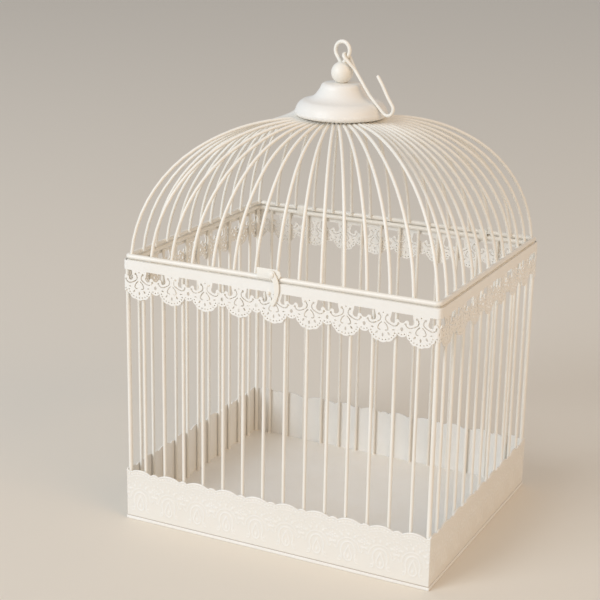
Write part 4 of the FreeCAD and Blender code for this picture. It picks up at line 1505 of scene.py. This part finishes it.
@dataclass
class Latch(SubAssembly):
    """The latch: a plate and rivet on the lid, a crescent hook on the rivet, and a stud on the lace."""

    pivot_x: float = -1.9
    pivot_z: float = 255.4
    plate_edge: float = 0.28
    rivet_shank: float = 1.5
    rivet_head: float = 1.0
    rivet_dome: float = 0.75
    hook_eye: float = 3.8
    hook_edge: float = 0.3
    rest_swing: float = 4.5
    # The hook's edge, measured from its pivot: down its outer side, round its tip and up its inner side
    hook_arcs: tuple[tuple[Point, Point, Point], ...] = (
        ((2.9, 1.9), (6.5, -10.0), (4.3, -19.6)),
        ((4.3, -19.6), (2.7, -23.4), (0.2, -26.6)),
        ((0.2, -26.6), (-1.6, -26.9), (-2.8, -25.4)),
        ((-2.8, -25.4), (-2.9, -23.8), (-2.6, -22.4)),
        ((-2.6, -22.4), (0.2, -20.6), (1.2, -17.6)),
        ((1.2, -17.6), (1.75, -12.8), (1.5, -8.0)),
        ((1.5, -8.0), (0.7, -5.4), (-1.0, -2.9)))
    stud_pin: float = 1.3
    stud_dome: float = 0.5
    pad_thick: float = 0.3
    pad_edge: Point = (0.2, 0.12)
    pad_fillet: Point = (0.25, 0.3)

    def build(self) -> None:
        """Make the plate, the rivet, the hook and the stud."""
        self.plate()
        self.rivet()
        self.hook()
        self.stud()

    def plate(self) -> None:
        """The plate on the rim, with one round end."""
        low, high = node_box("latch_plate")
        half = (high - low).z / 2
        outline = [(low.x, low.z), (high.x - half, low.z)]
        outline += arc_points((high.x - half, low.z), (high.x, low.z + half), (high.x - half, high.z), 18)
        outline += [(low.x, high.z)]
        shape = flat_plate(outline, high.y, (high - low).y)
        soften(shape, self.plate_edge, 3)
        self.shop.place("latch_plate_rounded", shape, Body.LID, FITTING_PAINT, "latch_plate")

    def rivet(self) -> None:
        """The rivet, with a domed head over the hook."""
        low, high = node_box("latch_rivet")
        head, depth = (high - low).x / 2, (high - low).y
        under_head = depth - self.rivet_head
        profile = [(0.0, 0.0), (self.rivet_shank, 0.0), (self.rivet_shank, under_head), (head, under_head)]
        profile += domed_end(head, self.rivet_dome, depth, 7)
        shape = front_pin(profile, 28, low, high)
        self.shop.place("rivet_domed", shape, Body.LID, FITTING_PAINT, "latch_rivet")

    def hook(self) -> None:
        """The crescent hook, as it hangs from the rivet."""
        low, high = node_box("latch_hook")
        start, end = self.hook_arcs[0][0], self.hook_arcs[-1][2]
        outline = [start]
        for arc in self.hook_arcs:
            outline += arc_points(*arc, 9)
        outline += self.head_arc(end, start)
        swing = math.radians(self.rest_swing)
        hanging = [(self.pivot_x + x * math.cos(swing) - z * math.sin(swing),
                    self.pivot_z + x * math.sin(swing) + z * math.cos(swing)) for x, z in outline]
        shape = flat_plate(hanging, high.y, (high - low).y)
        soften(shape, self.hook_edge, 3)
        self.shop.place("latch_hook_crescent", shape, Body.LATCH, FITTING_PAINT, "latch_hook")

    def head_arc(self, end: Point, start: Point) -> list[Point]:
        """The round head of the hook.

        Args:
            end: where the hook's inner edge ends.
            start: where its outer edge starts.

        Returns:
            Points from the one to the other.
        """
        first = math.atan2(end[1], end[0])
        last = math.atan2(start[1], start[0])
        sweep = (first - last) % math.tau
        steps = 20
        return [around_point((0.0, 0.0), self.hook_eye, first - sweep * step / steps)
                for step in range(steps + 1)]

    def stud(self) -> None:
        """The keeper stud: a round pin with a soft tip on a thin pad."""
        low, high = node_box("keeper_stud")
        pad, depth = (high - low).x / 2, (high - low).y
        pin, top = self.stud_pin, self.pad_thick
        profile = [(0.0, 0.0), (pad, 0.0), (pad, top - self.pad_edge[1]), (pad - self.pad_edge[0], top),
                   (pin + self.pad_fillet[0], top), (pin, top + self.pad_fillet[1])]
        profile += domed_end(pin, self.stud_dome, depth, 6)
        shape = front_pin(profile, 24, low, high)
        self.shop.place("keeper_stud_round", shape, Body.CAGE, FITTING_PAINT, "keeper_stud")


@dataclass
class HangingHook(SubAssembly):
    """The rod hook that hangs in the eye: a drop-shaped loop, a shank with a knee, a bend and an arm."""

    rod: float = 1.5
    rod_start: float = 0.85
    rod_start_length: float = 2.0
    rod_overlap: float = 3.0
    loop_radius: float = 3.7
    loop_rod: float = 1.6
    loop_end: float = 0.9
    loop_drop: float = 13.5
    eye_radius: float = 7.5
    reach: float = 67.5
    knee_at: float = 47.0
    knee_dip: float = 1.5
    knee_radius: float = 14.0
    end_rise: float = 0.6
    bend: float = 5.8
    arm: float = 28.0
    sway: float = 7.0
    sway_radius: float = 80.0
    flare: float = 5.0
    tilt: float = 49.0
    turn: float = -10.0
    height: float = 428.75
    around: int = 14

    def build(self) -> None:
        """Draw the hook along +X from the middle of the eye, then tilt it down beside the cap."""
        shape = bmesh.new()
        apex = RIGHTWARDS * (self.eye_radius + self.loop_drop)
        self.loop(shape, apex)
        self.arm_end(self.shank(shape, apex))
        tilt = Matrix.Rotation(math.radians(self.tilt), 4, "Y")
        turn = Matrix.Rotation(math.radians(self.turn), 4, "Z")
        bmesh.ops.transform(shape, matrix=Matrix.Translation((0.0, 0.0, self.height)) @ turn @ tilt,
                            verts=shape.verts)
        tidy(shape)
        self.shop.place("hanging_hook_bent", shape, Body.HANGER, FITTING_PAINT, "hanging_hook")

    def loop(self, shape: Shape, apex: Vector) -> None:
        """The drop-shaped loop, closed where its limbs meet.

        Args:
            shape: the mesh to draw in.
            apex: where the limbs meet.
        """
        spread = math.acos(self.loop_radius / self.loop_drop)
        limb = math.sqrt(self.loop_drop ** 2 - self.loop_radius ** 2)
        out = Vector((-math.sin(spread), math.cos(spread), 0.0))
        wire = WireRun(shape, apex, out, self.loop_rod * self.loop_end, self.around)
        wire.cap_start().neck(limb, 1 / self.loop_end)
        wire.bend(UP, 360 - 2 * math.degrees(spread), self.loop_radius, 22).neck(limb, self.loop_end).cap()

    def shank(self, shape: Shape, apex: Vector) -> WireRun:
        """The shank with its knee, and the round bend at its end.

        Args:
            shape: the mesh to draw in.
            apex: where the loop's limbs meet.

        Returns:
            The wire, ready for the arm.
        """
        start, knee = apex - RIGHTWARDS * self.rod_overlap, Vector((self.knee_at, 0.0, -self.knee_dip))
        upper, lower = knee - start, RIGHTWARDS * self.reach + UP * self.end_rise - knee
        turn = upper.angle(lower)
        corner = self.knee_radius * math.tan(turn / 2)
        wire = WireRun(shape, start, upper, self.rod * self.rod_start, self.around)
        wire.cap_start().neck(self.rod_start_length, 1 / self.rod_start)
        wire.straight(upper.length - self.rod_start_length - corner)
        wire.bend(FRONTWARDS, math.degrees(turn), self.knee_radius, 6).straight(lower.length - corner)
        rising = math.degrees(RIGHTWARDS.angle(lower))
        return wire.bend(FRONTWARDS, 180 - self.flare - rising, self.bend, 20)

    def arm_end(self, wire: WireRun) -> None:
        """The arm, which sways a little and ends in a round tip.

        Args:
            wire: the wire that comes out of the bend.
        """
        straight = (self.arm - 2 * self.sway_radius * math.radians(self.sway)) / 2
        wire.straight(straight)
        for degrees in (-self.sway, self.sway):
            wire.bend(FRONTWARDS, degrees, self.sway_radius, 4)
        wire.straight(straight).round_end(self.rod)


@dataclass(frozen=True)
class Lamp:
    """A soft square lamp of the studio."""

    name: str
    place: tuple[float, float, float]
    aim: tuple[float, float, float]
    width: float
    power: float
    colour: Colour

    def light(self) -> None:
        """Hang the lamp."""
        data = bpy.data.lights.new(self.name, "AREA")
        data.shape = "SQUARE"
        data.size = self.width
        data.energy = self.power
        data.color = screen_colour(*self.colour)[:3]
        lamp = bpy.data.objects.new(self.name, data)
        bpy.context.scene.collection.objects.link(lamp)
        direction = Vector(self.aim) - Vector(self.place)
        facing = direction.to_track_quat("-Z", "Y").to_matrix().to_4x4()
        lamp.matrix_world = Matrix.Translation(self.place) @ facing


@dataclass(frozen=True)
class Studio:
    """A plain pale floor, soft cool light from the front left, a weak warm fill, and the camera."""

    floor_colour: Colour = (236, 228, 215)
    floor_roughness: float = 0.7
    floor_half: float = 12.0
    sky_colour: Colour = (250, 249, 250)
    sky_strength: float = 0.47
    azimuth: float = 26.10
    elevation: float = 16.89
    roll: float = 1.09
    distance: float = 1.3517
    aim: tuple[float, float, float] = (-0.03004, -0.00536, 0.19769)
    focal_pixels: float = 1462.4
    picture: float = 600.0
    optical_middle: Point = (304.3, 299.8)
    sensor: float = 36.0
    lamps: tuple[Lamp, ...] = (
        Lamp("key_lamp", (-2.4, -4.4, 2.6), (0.0, 0.0, 0.2), 2.8, 181.0, (235, 245, 255)),
        Lamp("fill_lamp", (3.4, -1.0, 2.4), (0.0, 0.0, 0.2), 2.4, 45.0, (255, 212, 156)),
    )

    def build(self) -> None:
        """Set up the floor, the light and the camera."""
        self.floor()
        self.sky()
        for lamp in self.lamps:
            lamp.light()
        self.camera()
        bpy.context.scene.view_settings.view_transform = "Standard"

    def floor(self) -> None:
        """A plain matt floor."""
        material = bpy.data.materials.new("pale_floor")
        PaintTree(material).surface({
            "Base Color": screen_colour(*self.floor_colour), "Roughness": self.floor_roughness})
        shape = bmesh.new()
        bmesh.ops.create_grid(shape, x_segments=1, y_segments=1, size=self.floor_half)
        mesh = bpy.data.meshes.new("studio_floor")
        shape.to_mesh(mesh)
        shape.free()
        mesh.materials.append(material)
        floor = bpy.data.objects.new("studio_floor", mesh)
        bpy.context.scene.collection.objects.link(floor)

    def sky(self) -> None:
        """An even, neutral surround."""
        world = bpy.data.worlds.new("studio_surround")
        world.use_nodes = True
        background = world.node_tree.nodes["Background"]
        background.inputs["Color"].default_value = screen_colour(*self.sky_colour)
        background.inputs["Strength"].default_value = self.sky_strength
        bpy.context.scene.world = world

    def camera(self) -> None:
        """The camera that sees the cage from the front right, a little from above."""
        azimuth, elevation = math.radians(self.azimuth), math.radians(self.elevation)
        roll = math.radians(self.roll)
        back = Vector((math.sin(azimuth) * math.cos(elevation), -math.cos(azimuth) * math.cos(elevation),
                       math.sin(elevation)))
        right = Vector((math.cos(azimuth), math.sin(azimuth), 0.0))
        up = back.cross(right)
        tilted_right = right * math.cos(roll) + up * math.sin(roll)
        tilted_up = up * math.cos(roll) - right * math.sin(roll)
        data = bpy.data.cameras.new("photo_camera")
        data.sensor_width = self.sensor
        data.lens = self.focal_pixels / self.picture * self.sensor
        data.shift_x = (self.picture / 2 - self.optical_middle[0]) / self.picture
        data.shift_y = (self.optical_middle[1] - self.picture / 2) / self.picture
        camera = bpy.data.objects.new("photo_camera", data)
        bpy.context.scene.collection.objects.link(camera)
        axes = Matrix((tilted_right, tilted_up, back)).transposed().to_4x4()
        camera.matrix_world = Matrix.Translation(Vector(self.aim) + back * self.distance) @ axes
        bpy.context.scene.camera = camera


def main() -> None:
    """Load the frame, dress it piece by piece and light it."""
    logging.basicConfig(level=logging.INFO, format="%(name)s %(message)s")
    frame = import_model()
    shop = Workshop()
    EmbossedBase(shop).build()
    UprightWires(shop).build()
    LaceBand(shop).build(frame["nodes"])
    HingeStraps(shop).build()
    DomeLid(shop).build()
    Finial(shop).build()
    Latch(shop).build()
    HangingHook(shop).build()
    Studio().build()
    LOG.info("%d pieces", len(shop.pieces))


if __name__ == "__main__":
    main()
